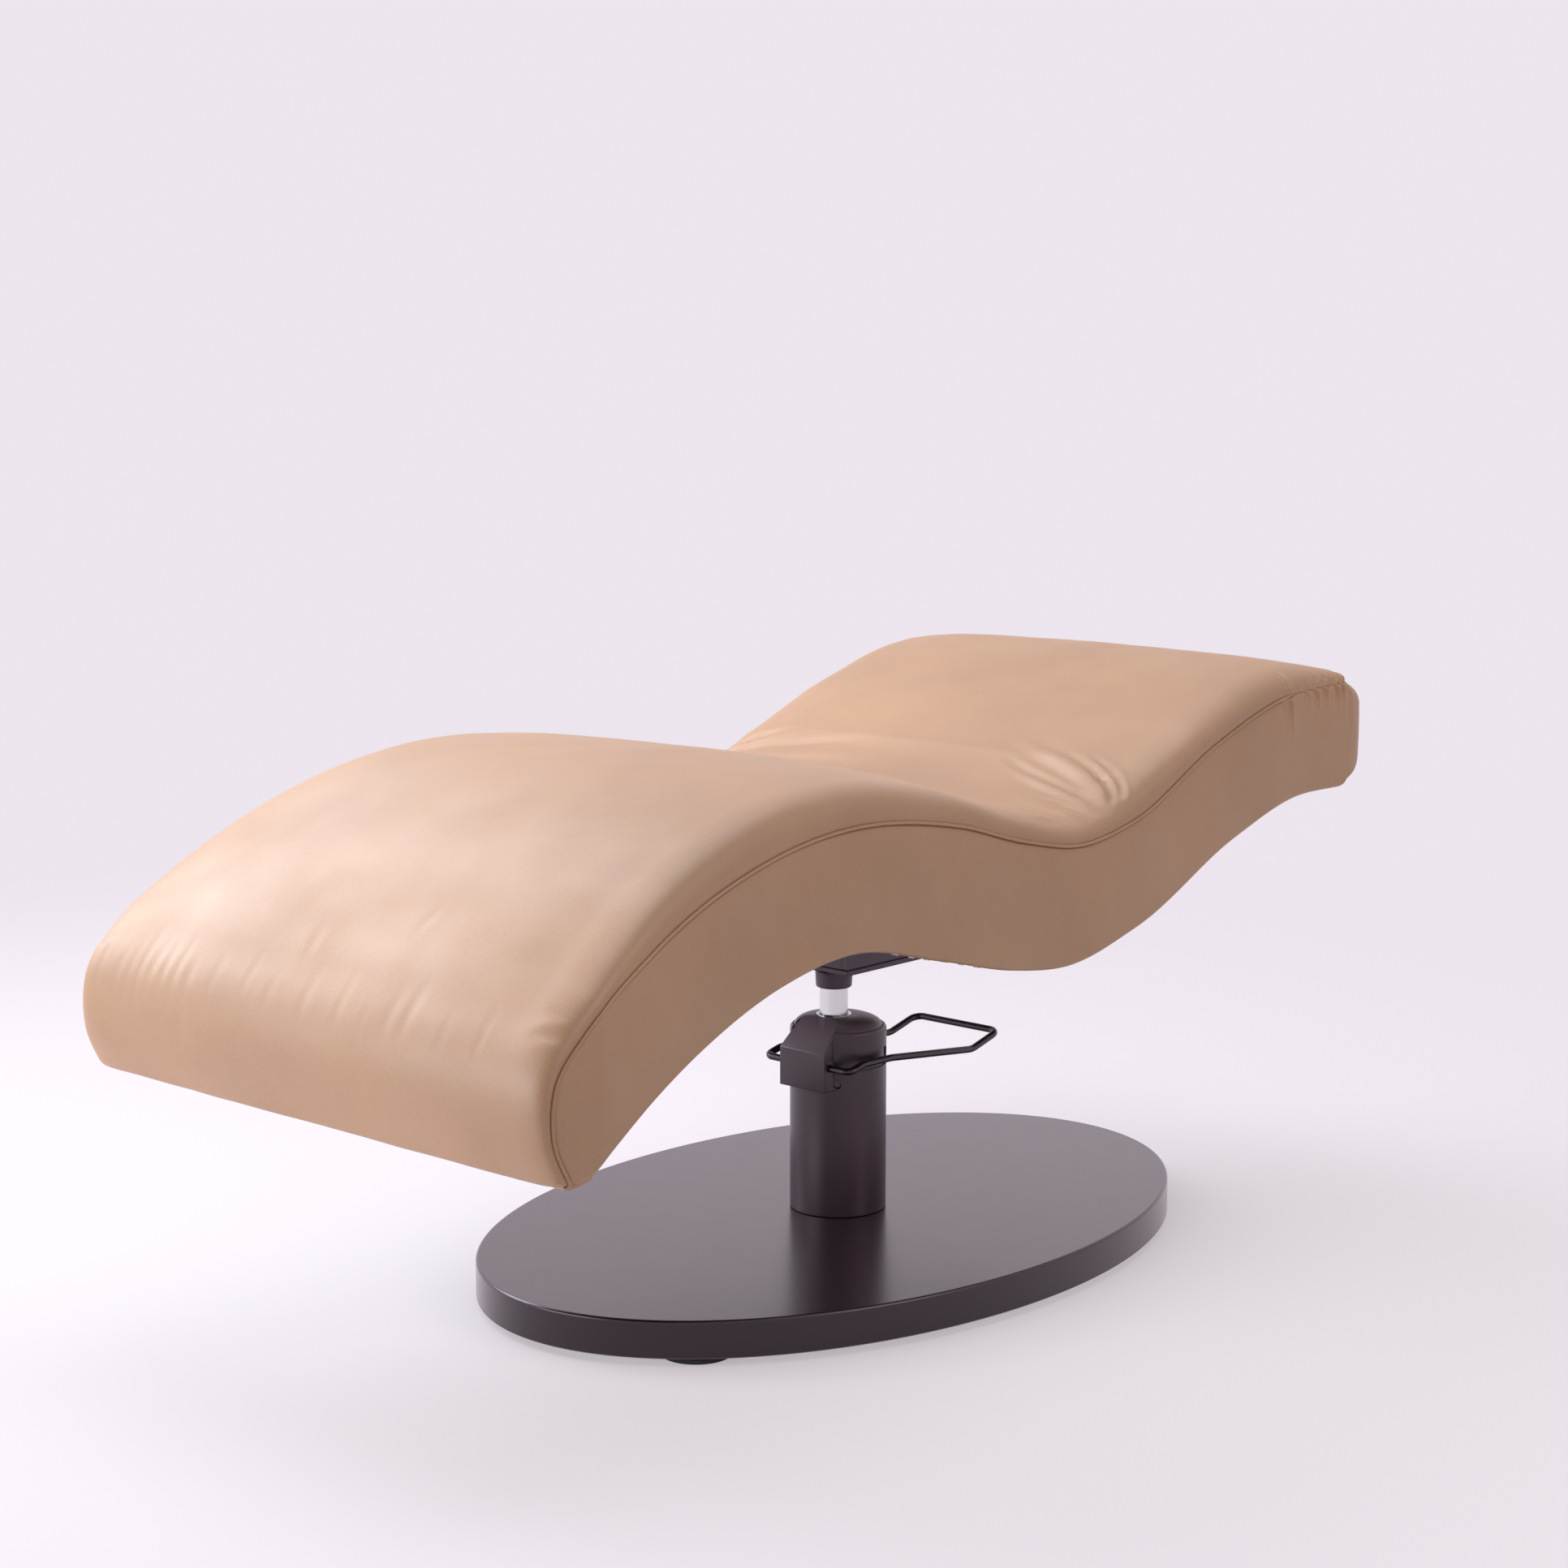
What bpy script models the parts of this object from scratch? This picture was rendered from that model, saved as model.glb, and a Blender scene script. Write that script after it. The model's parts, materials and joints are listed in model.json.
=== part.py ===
"""Wave-shaped eyelash extension bed on a hydraulic column.

Metres, +Z up. The foot end faces -Y and the head end faces +Y.
Builders work from the column's axis, and the ram stands a little forward of it. place() then shifts
every piece along Y, so that the whole bed is centred on the origin, with the floor at zero.
"""
import math

import bmesh
import bpy
from mathutils import Vector

# Wave-shaped body
BED_LENGTH = 1.620              # unit of the distances in the two side outlines below
WAVE_HEIGHT = 0.2965            # unit of their heights: from the low point of the belly to the head seam
HALF_WIDTH = 0.351              # at the waist
FOOT_FLARE = 0.040              # extra half width at the foot face
HEAD_TAPER = 0.007              # half width lost at the head end
FLARE_START_SHARE = -0.2654     # where the foot flare begins, as a share of the length
TAPER_START_SHARE = 0.1235      # where the head taper begins
CROWN_EDGE = 0.036              # height of the cushion's rounded edge above the seam
CROWN_MIDDLE = 0.012            # further rise to the centre line
EDGE_RADIUS = 0.056             # run of the rounded edge across the cushion
FOOT_PAD = 0.012                # cushion height at the bottom of the foot face
FOOT_PAD_RUN = 0.340            # path along which the cushion reaches its full height
FOOT_FULLNESS = 0.012           # extra padding over the slope above the foot
FOOT_FULL_SHARE = -0.3272       # its middle, as a share of the length
FOOT_FULL_REACH = 0.290         # distance either way at which it fades out
HEAD_ROLL_RUN = 0.2858          # distance from the head end at which the cushion starts to roll down
HEAD_ROLL_OVER = 0.0042         # how far past the head end the roll would meet the seam
HEAD_CORNER = 0.045             # plan radius of the cushion's two head corners
END_ROUND_RUN = 0.026           # rounding of the body's lower corner at the head end: its run
END_ROUND_RISE = 0.021          # and its rise

# Layers of the body, measured square to the outline
DECK_TOP = 0.0040               # deck face above the seam line
DECK_DEPTH = 0.0085
DECK_INSET = 0.0070             # deck edge inside the side covers
BOARD_THICKNESS = 0.018
COVER_THICKNESS = 0.0032
PANEL_THICKNESS = 0.006
GAP = 0.0003                    # clearance between pieces that touch
SIDE_GAP = 0.0007               # the same beside the flared side covers
PIPING_RADIUS = 0.0038
PIPING_INSET = 0.0025
PIPING_FADE = 0.1300            # distance from the head end where the piping dies into the gathers
RAIL_HALF = 0.014
RAIL_HEIGHT = 0.050
HEAD_BOARD_THICKNESS = 0.018
HEAD_BOARD_INSET = 0.0065       # from the head end

# End pad
PAD_DEPTH = 0.060
PAD_TUCK = 0.0015               # height of the pad short of the body at its top and bottom
PAD_SIDE_INSET = 0.030          # how far the outline draws in at the sides of the pad's face
PAD_TOP_SHARE = 0.214           # how far it draws in at the top, as a share of the pad's height
PAD_LOW_SHARE = 0.534           # and at the bottom
PAD_CORNER = 0.012

# Base plate and glides
BASE_HALF_LENGTH = 0.550
BASE_HALF_WIDTH = 0.357
BASE_TOP = 0.055
BASE_WALL = 0.003               # sheet of the pressed cover
BALLAST_THICKNESS = 0.010
BALLAST_FIT = 0.0005            # clearance between the ballast plate and the cover's wall
SPACER_RADIUS = 0.080
GLIDE_HEIGHT = 0.009
GLIDE_RADIUS = 0.044
GLIDE_SIDE_INSET = 0.202        # from the rim to the glide's centre, across and along
GLIDE_END_INSET = 0.120
BASE_TOP_EDGE = 0.004
BASE_LOW_EDGE = 0.002
GLIDE_EDGE = 0.002

# Pump
SHELL_RADIUS = 0.0628
SHELL_WALL = 0.0043
SHELL_TOP = 0.2970
FLANGE_TOP = 0.0640
FLANGE_RADIUS = 0.056
FLANGE_BOLT_CIRCLE = 0.049
FLANGE_BOLT_RADIUS = 0.0055
FLANGE_BOLT_HEIGHT = 0.006
RAM_Y = -0.0088                 # the ram's axis, forward of the column's axis
TUBE_RADIUS = 0.0352
TUBE_BORE = 0.031
TUBE_TOP = 0.280
GUIDE_RADIUS = 0.0350
GUIDE_TOP = 0.2965
ROD_RADIUS = 0.0184
ROD_FIT = 0.0004                # clearance round the rod
ROD_LOW = 0.1050
ROD_TOP = 0.3672
PISTON_RADIUS = 0.0305
PISTON_LOW = 0.0897
CAP_HOLE = 0.0240
CAP_TOP = 0.3130
CAP_EDGE = 0.2962               # height at which the cap leaves the shell's rim
CAP_SKIRT_LOW = 0.2868
CAP_SKIRT_WALL = 0.0060
CAP_FLAT = 0.0200               # radius towards which the dome levels out
RING_RADIUS = 0.0235
RING_TOP = 0.3140
RING_EDGE = 0.0015
SCREW_RADIUS = 0.0045
SCREW_Z = 0.2307
SCREW_ANGLES_DEG = (-50.0, -130.0)
SCREW_DEPTH = 0.0062
SCREW_PROUD = 0.0006

# Nose of the pump, and the recesses for the lever's arms
NOSE_FACE = 0.0712              # distance in front of the column's axis
NOSE_BACK = 0.0450
NOSE_HALF = 0.0380
NOSE_LOW = 0.2240
NOSE_SHOULDER = 0.2745
NOSE_TOP = 0.2968
NOSE_TOP_FACE = 0.0484
SLOPE_CUT_RISE = 0.0220         # height above the nose over which the slope is cut clear
SLOPE_CUT_FACE = 0.0800
RECESS_FLOOR = 0.0605
RECESS_REACH = 0.0680
RECESS_LOW = 0.2480
RECESS_HIGH = 0.2720
RECESS_SPAN_DEG = (-46.0, 34.0)

# Foot lever: one bent rod through the nose
LEVER_ROD = 0.0046
LEVER_BORE = 0.0053
LEVER_AXIS_Y = -0.0600
LEVER_AXIS_Z = 0.2550
LEVER_HALF = 0.0715
LEVER_CORNERS = (
    # Y, Z and bend radius of the near arm's corners, from the pivot outwards
    (-0.0600, 0.2550, 0.0100),
    (-0.0340, 0.2612, 0.0300),
    (0.0220, 0.2600, 0.0800),
    (0.1900, 0.2415, 0.0400),
    (0.2460, 0.2565, 0.0140),
)

# Seat mount
SOCKET_RADIUS = 0.0235
SOCKET_TOP_RADIUS = 0.0245
SOCKET_LOW = 0.3490
SOCKET_TOP = 0.3707
SOCKET_EDGE = 0.0030
PLATE_HALF = 0.0435             # half width of the mount
PLATE_FRONT = 0.0320            # its front end, ahead of the column's axis
PLATE_LOW = 0.3710
PLATE_TOP = 0.3790
WEB_THICKNESS = 0.010
WEB_END = 0.118
WEB_HEIGHT = 0.0406             # from the plate up to the low point of the belly
CROSS_THICKNESS = 0.010
NUT_RADIUS = 0.0070
NUT_HEIGHT = 0.0065
NUT_X = 0.0240
NUT_FRONT = -0.0130
NUT_REAR = 0.0200
SMALL_BEVEL = 0.0010

# Side outline as shares: distance from the column's axis, and height above the belly's low point.
# The seam runs from the bottom of the foot face over the wave to the head end.
SEAM_SHARE = (
    (-0.529, -0.2486), (-0.542, -0.1038), (-0.539, 0.0929), (-0.515, 0.2349), (-0.444, 0.4590),
    (-0.340, 0.6556), (-0.225, 0.7431), (-0.119, 0.6775), (-0.037, 0.5573), (0.034, 0.4972),
    (0.095, 0.5464), (0.212, 0.8141), (0.309, 0.9671), (0.411, 1.0000),
)
BELLY_SHARE = (
    (-0.520, -0.2541), (-0.510, -0.2486), (-0.497, -0.2076), (-0.475, -0.1475), (-0.395, 0.0492),
    (-0.304, 0.2022), (-0.231, 0.2568), (-0.133, 0.1475), (-0.049, 0.0382), (0.019, 0.0000),
    (0.102, 0.0874), (0.241, 0.3934), (0.327, 0.5191), (0.411, 0.5191),
)
SEGMENT_STEPS = (3, 4, 4, 3, 3, 3, 3, 3, 3, 3, 3, 3, 8)
RAIL_PLACE_SHARE = (-0.475, -0.320, -0.160, 0.005, 0.150, 0.300)

# Facet counts
ROUND_FINE = 48
ROUND_SMALL = 24
OVAL_SEGMENTS = 72
BOLT_SIDES = 6
TUBE_SIDES = 10
PIPING_SIDES = 6
CROWN_POINTS = 17
PAD_LAYERS = 6
PAD_CORNER_STEPS = 4
BEND_STEPS = 5

FINISHES = {
    "base_black": ((0.035, 0.032, 0.034), 0.30, 0.0),
    "pump_black": ((0.030, 0.028, 0.030), 0.36, 0.0),
    "glide_rubber": ((0.020, 0.020, 0.021), 0.80, 0.0),
    "bright_steel": ((0.780, 0.780, 0.790), 0.14, 1.0),
    "dark_steel": ((0.300, 0.300, 0.310), 0.42, 1.0),
    "lever_black": ((0.032, 0.030, 0.032), 0.34, 0.0),
    "mount_black": ((0.034, 0.032, 0.034), 0.45, 0.0),
    "plywood": ((0.620, 0.440, 0.260), 0.60, 0.0),
    "tan_leather": ((0.560, 0.380, 0.260), 0.48, 0.0),
    "tan_piping": ((0.500, 0.330, 0.220), 0.45, 0.0),
    "dust_cover": ((0.060, 0.055, 0.052), 0.90, 0.0),
}


def clear_scene():
    for item in list(bpy.data.objects):
        bpy.data.objects.remove(item, do_unlink=True)


def finish(node, slot):
    """One material per node, named after the node."""
    colour, roughness, metallic = FINISHES[slot]
    material = bpy.data.materials.new(node)
    material.use_nodes = True
    shader = material.node_tree.nodes["Principled BSDF"]
    shader.inputs["Base Color"].default_value = (*colour, 1.0)
    shader.inputs["Roughness"].default_value = roughness
    shader.inputs["Metallic"].default_value = metallic
    return material


class Builder:
    """Makes objects from points given round the column's axis."""

    def __init__(self, shift):
        self.shift = Vector((0.0, shift, 0.0))
        self.pivot = Vector()       # object origin, on the axis on which the pieces move

    def place(self, name, points, faces, slot):
        pivot = self.pivot
        mesh = bpy.data.meshes.new(name)
        mesh.from_pydata([Vector(p) - pivot for p in points], [], faces)
        work = bmesh.new()
        work.from_mesh(mesh)
        bmesh.ops.recalc_face_normals(work, faces=work.faces)
        work.to_mesh(mesh)
        work.free()
        item = bpy.data.objects.new(name, mesh)
        item.location = pivot + self.shift
        bpy.context.scene.collection.objects.link(item)
        if slot:
            mesh.materials.append(finish(name, slot))
        return item

    def loft(self, name, rings, slot, closed=False):
        """Skin over rings with the same number of points, closed into a loop or capped."""
        points, faces = skin(rings, closed)
        return self.place(name, points, faces, slot)

    def turned(self, name, profile, slot, centre=(0.0, 0.0), sides=ROUND_FINE, bored=False):
        """Turn a profile of (radius, height) pairs round a vertical axis."""
        rings = []
        for radius, height in profile:
            rings.append(circle(centre, radius, height, sides))
        return self.loft(name, rings, slot, closed=bored)

    def prism(self, name, outline, x_low, x_high, slot):
        """Extrude an outline of (y, z) pairs along X."""
        rings = [[(x, y, z) for y, z in outline] for x in (x_low, x_high)]
        return self.loft(name, rings, slot)

    def box(self, name, low, high, slot):
        outline = [(low[1], low[2]), (high[1], low[2]), (high[1], high[2]), (low[1], high[2])]
        item = self.prism(name, outline, low[0], high[0], slot)
        soften(item)
        return item


def skin(rings, closed):
    count = len(rings[0])
    points = [p for ring in rings for p in ring]
    faces = []
    pairs = len(rings) if closed else len(rings) - 1
    for i in range(pairs):
        here = i * count
        there = ((i + 1) % len(rings)) * count
        for j in range(count):
            k = (j + 1) % count
            faces.append((here + j, here + k, there + k, there + j))
    if not closed:
        faces.append(tuple(range(count)))
        last = (len(rings) - 1) * count
        faces.append(tuple(last + j for j in range(count)))
    return points, faces


def circle(centre, radius, height, sides):
    ring = []
    for i in range(sides):
        angle = 2.0 * math.pi * i / sides
        ring.append((centre[0] + radius * math.cos(angle), centre[1] + radius * math.sin(angle), height))
    return ring


def soften(item, width=SMALL_BEVEL):
    bevel = item.modifiers.new("edge", "BEVEL")
    bevel.width = width
    bevel.segments = 1
    bevel.limit_method = "ANGLE"


def spline(keys, steps):
    """Smooth curve through the keys, with the given number of steps in each gap."""
    padded = [extend(keys[1], keys[0])] + list(keys) + [extend(keys[-2], keys[-1])]
    curve = []
    for i, count in enumerate(steps):
        a, b, c, d = (Vector(p) for p in padded[i:i + 4])
        for k in range(count):
            t = k / count
            curve.append(blend(a, b, c, d, t))
    curve.append(Vector(keys[-1]))
    return curve


def extend(inner, end):
    return (2.0 * end[0] - inner[0], 2.0 * end[1] - inner[1])


def blend(a, b, c, d, t):
    """Cubic through b and c, with tangents weighted by the gaps on each side."""
    gap_before = (b - a).length
    gap = (c - b).length
    gap_after = (d - c).length
    slope_b = ((b - a) / gap_before * gap + (c - b) / gap * gap_before) / (gap + gap_before)
    slope_c = ((c - b) / gap * gap_after + (d - c) / gap_after * gap) / (gap + gap_after)
    h1 = 2 * t ** 3 - 3 * t ** 2 + 1
    h2 = t ** 3 - 2 * t ** 2 + t
    h3 = -2 * t ** 3 + 3 * t ** 2
    h4 = t ** 3 - t ** 2
    return b * h1 + slope_b * gap * h2 + c * h3 + slope_c * gap * h4


def normals(curve):
    """Unit normals to the left of travel: outwards on the seam, upwards on the belly."""
    result = []
    for i in range(len(curve)):
        step = curve[min(i + 1, len(curve) - 1)] - curve[max(i - 1, 0)]
        result.append(Vector((-step.y, step.x)).normalized())
    return result


def half_width(y):
    share = y / BED_LENGTH
    flare = unit_clamp((FLARE_START_SHARE - share) / (0.5 + FLARE_START_SHARE))
    taper = unit_clamp((share - TAPER_START_SHARE) / (0.5 - TAPER_START_SHARE))
    return HALF_WIDTH + FOOT_FLARE * flare ** 1.6 - HEAD_TAPER * taper


class Body:
    """The side outline of the wave, and the layers that follow it."""

    def __init__(self):
        low = PLATE_TOP + WEB_HEIGHT
        lines = []
        for shares in (SEAM_SHARE, BELLY_SHARE):
            keys = [(y * BED_LENGTH, low + z * WAVE_HEIGHT) for y, z in shares]
            lines.append(spline(keys, SEGMENT_STEPS))
        self.seam, self.belly = lines
        round_end(self.belly)
        self.head = self.seam[-1].x
        self.pad_back = self.head + SIDE_GAP
        self.seam_out = normals(self.seam)
        self.belly_up = normals(self.belly)
        self.path = [0.0]
        for a, b in zip(self.seam, self.seam[1:]):
            self.path.append(self.path[-1] + (b - a).length)

    def top(self, i, offset):
        return self.seam[i] + self.seam_out[i] * offset

    def low(self, i, offset):
        return self.belly[i] + self.belly_up[i] * offset

    def seam_width(self, i):
        return half_width(self.seam[i].x)

    def belly_line(self, offset):
        return [self.low(i, offset) for i in range(len(self.belly))]

    def belly_height(self, y, offset):
        return height_on(self.belly_line(offset), y)

    def crown(self, i):
        """Cushion height above its base at one station, and its half width there."""
        y = self.seam[i].x
        start = min(self.path[i] / FOOT_PAD_RUN, 1.0)
        ease = start * start * (3.0 - 2.0 * start)
        edge = FOOT_PAD + (CROWN_EDGE - FOOT_PAD) * ease
        away = min(abs(y - FOOT_FULL_SHARE * BED_LENGTH) / FOOT_FULL_REACH, 1.0)
        edge += FOOT_FULLNESS * math.cos(0.5 * math.pi * away) ** 2
        middle = CROWN_MIDDLE * ease
        roll = unit_clamp((y - self.head + HEAD_ROLL_RUN) / (HEAD_ROLL_RUN + HEAD_ROLL_OVER))
        fall = math.sqrt(1.0 - roll * roll)
        turn = unit_clamp((y - self.head - HEAD_ROLL_OVER + HEAD_CORNER) / HEAD_CORNER)
        width = self.seam_width(i) - HEAD_CORNER * (1.0 - math.sqrt(1.0 - turn * turn))
        return edge * fall, middle * fall, width

    def cushion_rings(self):
        rings = []
        base = DECK_TOP + GAP
        for i in range(len(self.seam)):
            edge, middle, width = self.crown(i)
            ring = []
            for k in range(CROWN_POINTS):
                across = -math.cos(math.pi * k / (CROWN_POINTS - 1))
                inside = unit_clamp((1.0 - abs(across)) * width / EDGE_RADIUS)
                rise = edge * math.sqrt(1.0 - (1.0 - inside) ** 2) + middle * (1.0 - across * across)
                point = self.top(i, base + rise)
                ring.append((across * width, point.x, point.y))
            rings.append(ring)
        return rings

    def pad_rings(self):
        """Pillow-shaped end pad: the outline draws in towards its outer face."""
        rings = []
        for k in range(PAD_LAYERS):
            turn = 0.5 * math.pi * k / (PAD_LAYERS - 1)
            drawn = 1.0 - math.cos(turn)
            y = self.pad_back + PAD_DEPTH * math.sin(turn)
            half = half_width(self.pad_back) - PAD_SIDE_INSET * drawn
            low = self.belly[-1].y + PAD_TUCK
            high = self.seam[-1].y - PAD_TUCK
            height = high - low
            low += PAD_LOW_SHARE * height * drawn
            high -= PAD_TOP_SHARE * height * drawn
            rings.append(rounded_rectangle(half, low, high, PAD_CORNER, y))
        return rings


def round_end(line):
    """Lifts the last stretch of the belly, so that the body's lower corner is rounded."""
    start = line[-1].x - END_ROUND_RUN
    for point in line:
        t = unit_clamp((point.x - start) / END_ROUND_RUN)
        point.y += END_ROUND_RISE * (1.0 - math.sqrt(1.0 - t * t))


def unit_clamp(value):
    return max(0.0, min(1.0, value))


def height_on(line, y):
    for a, b in zip(line, line[1:]):
        if a.x <= y <= b.x:
            return a.y + (b.y - a.y) * (y - a.x) / (b.x - a.x)
    return line[-1].y


def rounded_rectangle(half, low, high, radius, y):
    """Ring in the XZ plane with rounded corners."""
    ring = []
    centres = ((half - radius, high - radius, 0.0), (radius - half, high - radius, 90.0),
               (radius - half, low + radius, 180.0), (half - radius, low + radius, 270.0))
    for x, z, start in centres:
        for k in range(PAD_CORNER_STEPS + 1):
            angle = math.radians(start + 90.0 * k / PAD_CORNER_STEPS)
            ring.append((x + radius * math.cos(angle), y, z + radius * math.sin(angle)))
    return ring


def build_body(make, body):
    stations = range(len(body.seam))
    deck_low = DECK_TOP - DECK_DEPTH
    cover_top = -(PIPING_RADIUS + 2 * GAP)

    def sheet(name, slot, line, low, high, inset):
        rings = []
        for i in stations:
            a = line(i, low)
            b = line(i, high)
            wide_a = half_width(a.x) - inset
            wide_b = half_width(b.x) - inset
            rings.append([(-wide_a, a.x, a.y), (wide_a, a.x, a.y), (wide_b, b.x, b.y), (-wide_b, b.x, b.y)])
        make.loft(name, rings, slot)

    def flank(name, slot, side, outer, thickness, top_offset, low_offset):
        rings = []
        for i in stations:
            a = body.top(i, top_offset)
            b = body.low(i, low_offset)
            wide_a = half_width(a.x) - outer
            wide_b = half_width(b.x) - outer
            rings.append([(side * (wide_a - thickness), a.x, a.y), (side * wide_a, a.x, a.y),
                          (side * wide_b, b.x, b.y), (side * (wide_b - thickness), b.x, b.y)])
        make.loft(name, rings, slot)

    make.loft("cushion", body.cushion_rings(), "tan_leather")
    make.loft("head_pad", body.pad_rings(), "tan_leather")
    sheet("seat_deck", "plywood", body.top, deck_low, DECK_TOP, DECK_INSET)
    sheet("bottom_panel", "dust_cover", body.low, 0.0, PANEL_THICKNESS, COVER_THICKNESS + SIDE_GAP)
    for side, tag in ((-1, "left"), (1, "right")):
        flank("side_cover_" + tag, "tan_leather", side, 0.0, COVER_THICKNESS, cover_top, 0.0)
        flank("side_board_" + tag, "plywood", side, COVER_THICKNESS + SIDE_GAP, BOARD_THICKNESS,
              deck_low - GAP, PANEL_THICKNESS + GAP)
        build_piping(make, body, side, "piping_" + tag)
    build_rails(make, body, deck_low)


def build_piping(make, body, side, name):
    rings = []
    for i in range(len(body.seam)):
        if body.seam[i].x > body.head - PIPING_FADE:
            break
        out = body.seam_out[i]
        centre = body.seam[i]
        x = side * (body.seam_width(i) - PIPING_INSET)
        ring = []
        for k in range(PIPING_SIDES):
            angle = 2.0 * math.pi * (k + 0.5) / PIPING_SIDES
            across = PIPING_RADIUS * math.cos(angle)
            up = PIPING_RADIUS * math.sin(angle)
            ring.append((x + across, centre.x + out.x * up, centre.y + out.y * up))
        rings.append(ring)
    make.loft(name, rings, "tan_piping")


def build_rails(make, body, deck_low):
    """Cross rails and the head board between the two side boards."""
    rest = PANEL_THICKNESS + 2 * GAP
    inner = COVER_THICKNESS + BOARD_THICKNESS + 2 * SIDE_GAP
    for number, share in enumerate(RAIL_PLACE_SHARE, start=1):
        y = share * BED_LENGTH
        a, b = y - RAIL_HALF, y + RAIL_HALF
        za = body.belly_height(a, rest)
        zb = body.belly_height(b, rest)
        outline = [(a, za), (b, zb), (b, zb + RAIL_HEIGHT), (a, za + RAIL_HEIGHT)]
        half = min(half_width(a), half_width(b)) - inner
        make.prism("cross_rail_%d" % number, outline, -half, half, "plywood")
    seam_under = [body.top(i, deck_low - 2 * GAP) for i in range(len(body.seam))]
    outline = []
    front = body.head - HEAD_BOARD_INSET
    back = front - HEAD_BOARD_THICKNESS
    for y in (back, front):
        outline.append((y, body.belly_height(y, rest)))
    for y in (front, back):
        outline.append((y, height_on(seam_under[len(seam_under) // 2:], y)))
    half = half_width(front) - inner
    make.prism("head_board", outline, -half, half, "plywood")


def build_base(make):
    """Pressed oval cover over a ballast plate, with a spacer under the pump and low glides."""
    share = math.sqrt(0.5)
    oval(make, "base_plate", "base_black", [
        (BASE_WALL, BASE_TOP - BASE_WALL),
        (BASE_WALL, GLIDE_HEIGHT),
        (BASE_LOW_EDGE, GLIDE_HEIGHT),
        (0.0, GLIDE_HEIGHT + BASE_LOW_EDGE),
        (0.0, BASE_TOP - BASE_TOP_EDGE),
        (BASE_TOP_EDGE * (1.0 - share), BASE_TOP - BASE_TOP_EDGE * (1.0 - share)),
        (BASE_TOP_EDGE, BASE_TOP),
    ])
    ballast_inset = BASE_WALL + BALLAST_FIT
    ballast_top = GLIDE_HEIGHT + BALLAST_THICKNESS
    oval(make, "base_ballast", "dark_steel", [(ballast_inset, GLIDE_HEIGHT), (ballast_inset, ballast_top)])
    spacer_top = BASE_TOP - BASE_WALL - GAP
    make.turned("base_spacer", [(SPACER_RADIUS, ballast_top + GAP), (SPACER_RADIUS, spacer_top)],
                "dark_steel")
    corners = ((1, -1), (-1, -1), (1, 1), (-1, 1))
    for number, (sx, sy) in enumerate(corners, start=1):
        profile = [(GLIDE_RADIUS - GLIDE_EDGE, 0.0), (GLIDE_RADIUS, GLIDE_EDGE),
                   (GLIDE_RADIUS, GLIDE_HEIGHT - GAP)]
        make.turned("glide_%d" % number, profile, "glide_rubber",
                    (sx * (BASE_HALF_WIDTH - GLIDE_SIDE_INSET), sy * (BASE_HALF_LENGTH - GLIDE_END_INSET)),
                    ROUND_SMALL)


def oval(make, name, slot, profile):
    """Loft over ovals given as (inset from the rim, height) pairs."""
    rings = []
    for inset, height in profile:
        ring = []
        for i in range(OVAL_SEGMENTS):
            angle = 2.0 * math.pi * i / OVAL_SEGMENTS
            ring.append(((BASE_HALF_WIDTH - inset) * math.cos(angle),
                         (BASE_HALF_LENGTH - inset) * math.sin(angle), height))
        rings.append(ring)
    make.loft(name, rings, slot)


def build_pump(make):
    floor = BASE_TOP + GAP
    make.turned("pump_flange", [(FLANGE_RADIUS, floor), (FLANGE_RADIUS, FLANGE_TOP)], "dark_steel")
    for number in range(1, 5):
        angle = math.radians(90.0 * number + 45.0)
        centre = (FLANGE_BOLT_CIRCLE * math.cos(angle), FLANGE_BOLT_CIRCLE * math.sin(angle))
        low = FLANGE_TOP + GAP
        make.turned("flange_bolt_%d" % number,
                    [(FLANGE_BOLT_RADIUS, low), (FLANGE_BOLT_RADIUS, low + FLANGE_BOLT_HEIGHT)],
                    "dark_steel", centre, BOLT_SIDES)
    ring_wall(make, "pump_tube", TUBE_BORE, TUBE_RADIUS, FLANGE_TOP + GAP, TUBE_TOP, "dark_steel")
    rod_bore = ROD_RADIUS + ROD_FIT
    ring_wall(make, "rod_guide", rod_bore, GUIDE_RADIUS, TUBE_TOP + GAP, GUIDE_TOP, "dark_steel")
    make.turned("wiper_ring", [
        (rod_bore, GUIDE_TOP + GAP), (RING_RADIUS, GUIDE_TOP + GAP),
        (RING_RADIUS, RING_TOP - RING_EDGE), (RING_RADIUS - RING_EDGE, RING_TOP),
        (rod_bore, RING_TOP)], "bright_steel", (0.0, RAM_Y), bored=True)
    build_cap(make)
    build_shell(make, floor)


def ring_wall(make, name, bore, radius, low, high, slot):
    profile = [(bore, low), (radius, low), (radius, high), (bore, high)]
    make.turned(name, profile, slot, (0.0, RAM_Y), bored=True)


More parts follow.
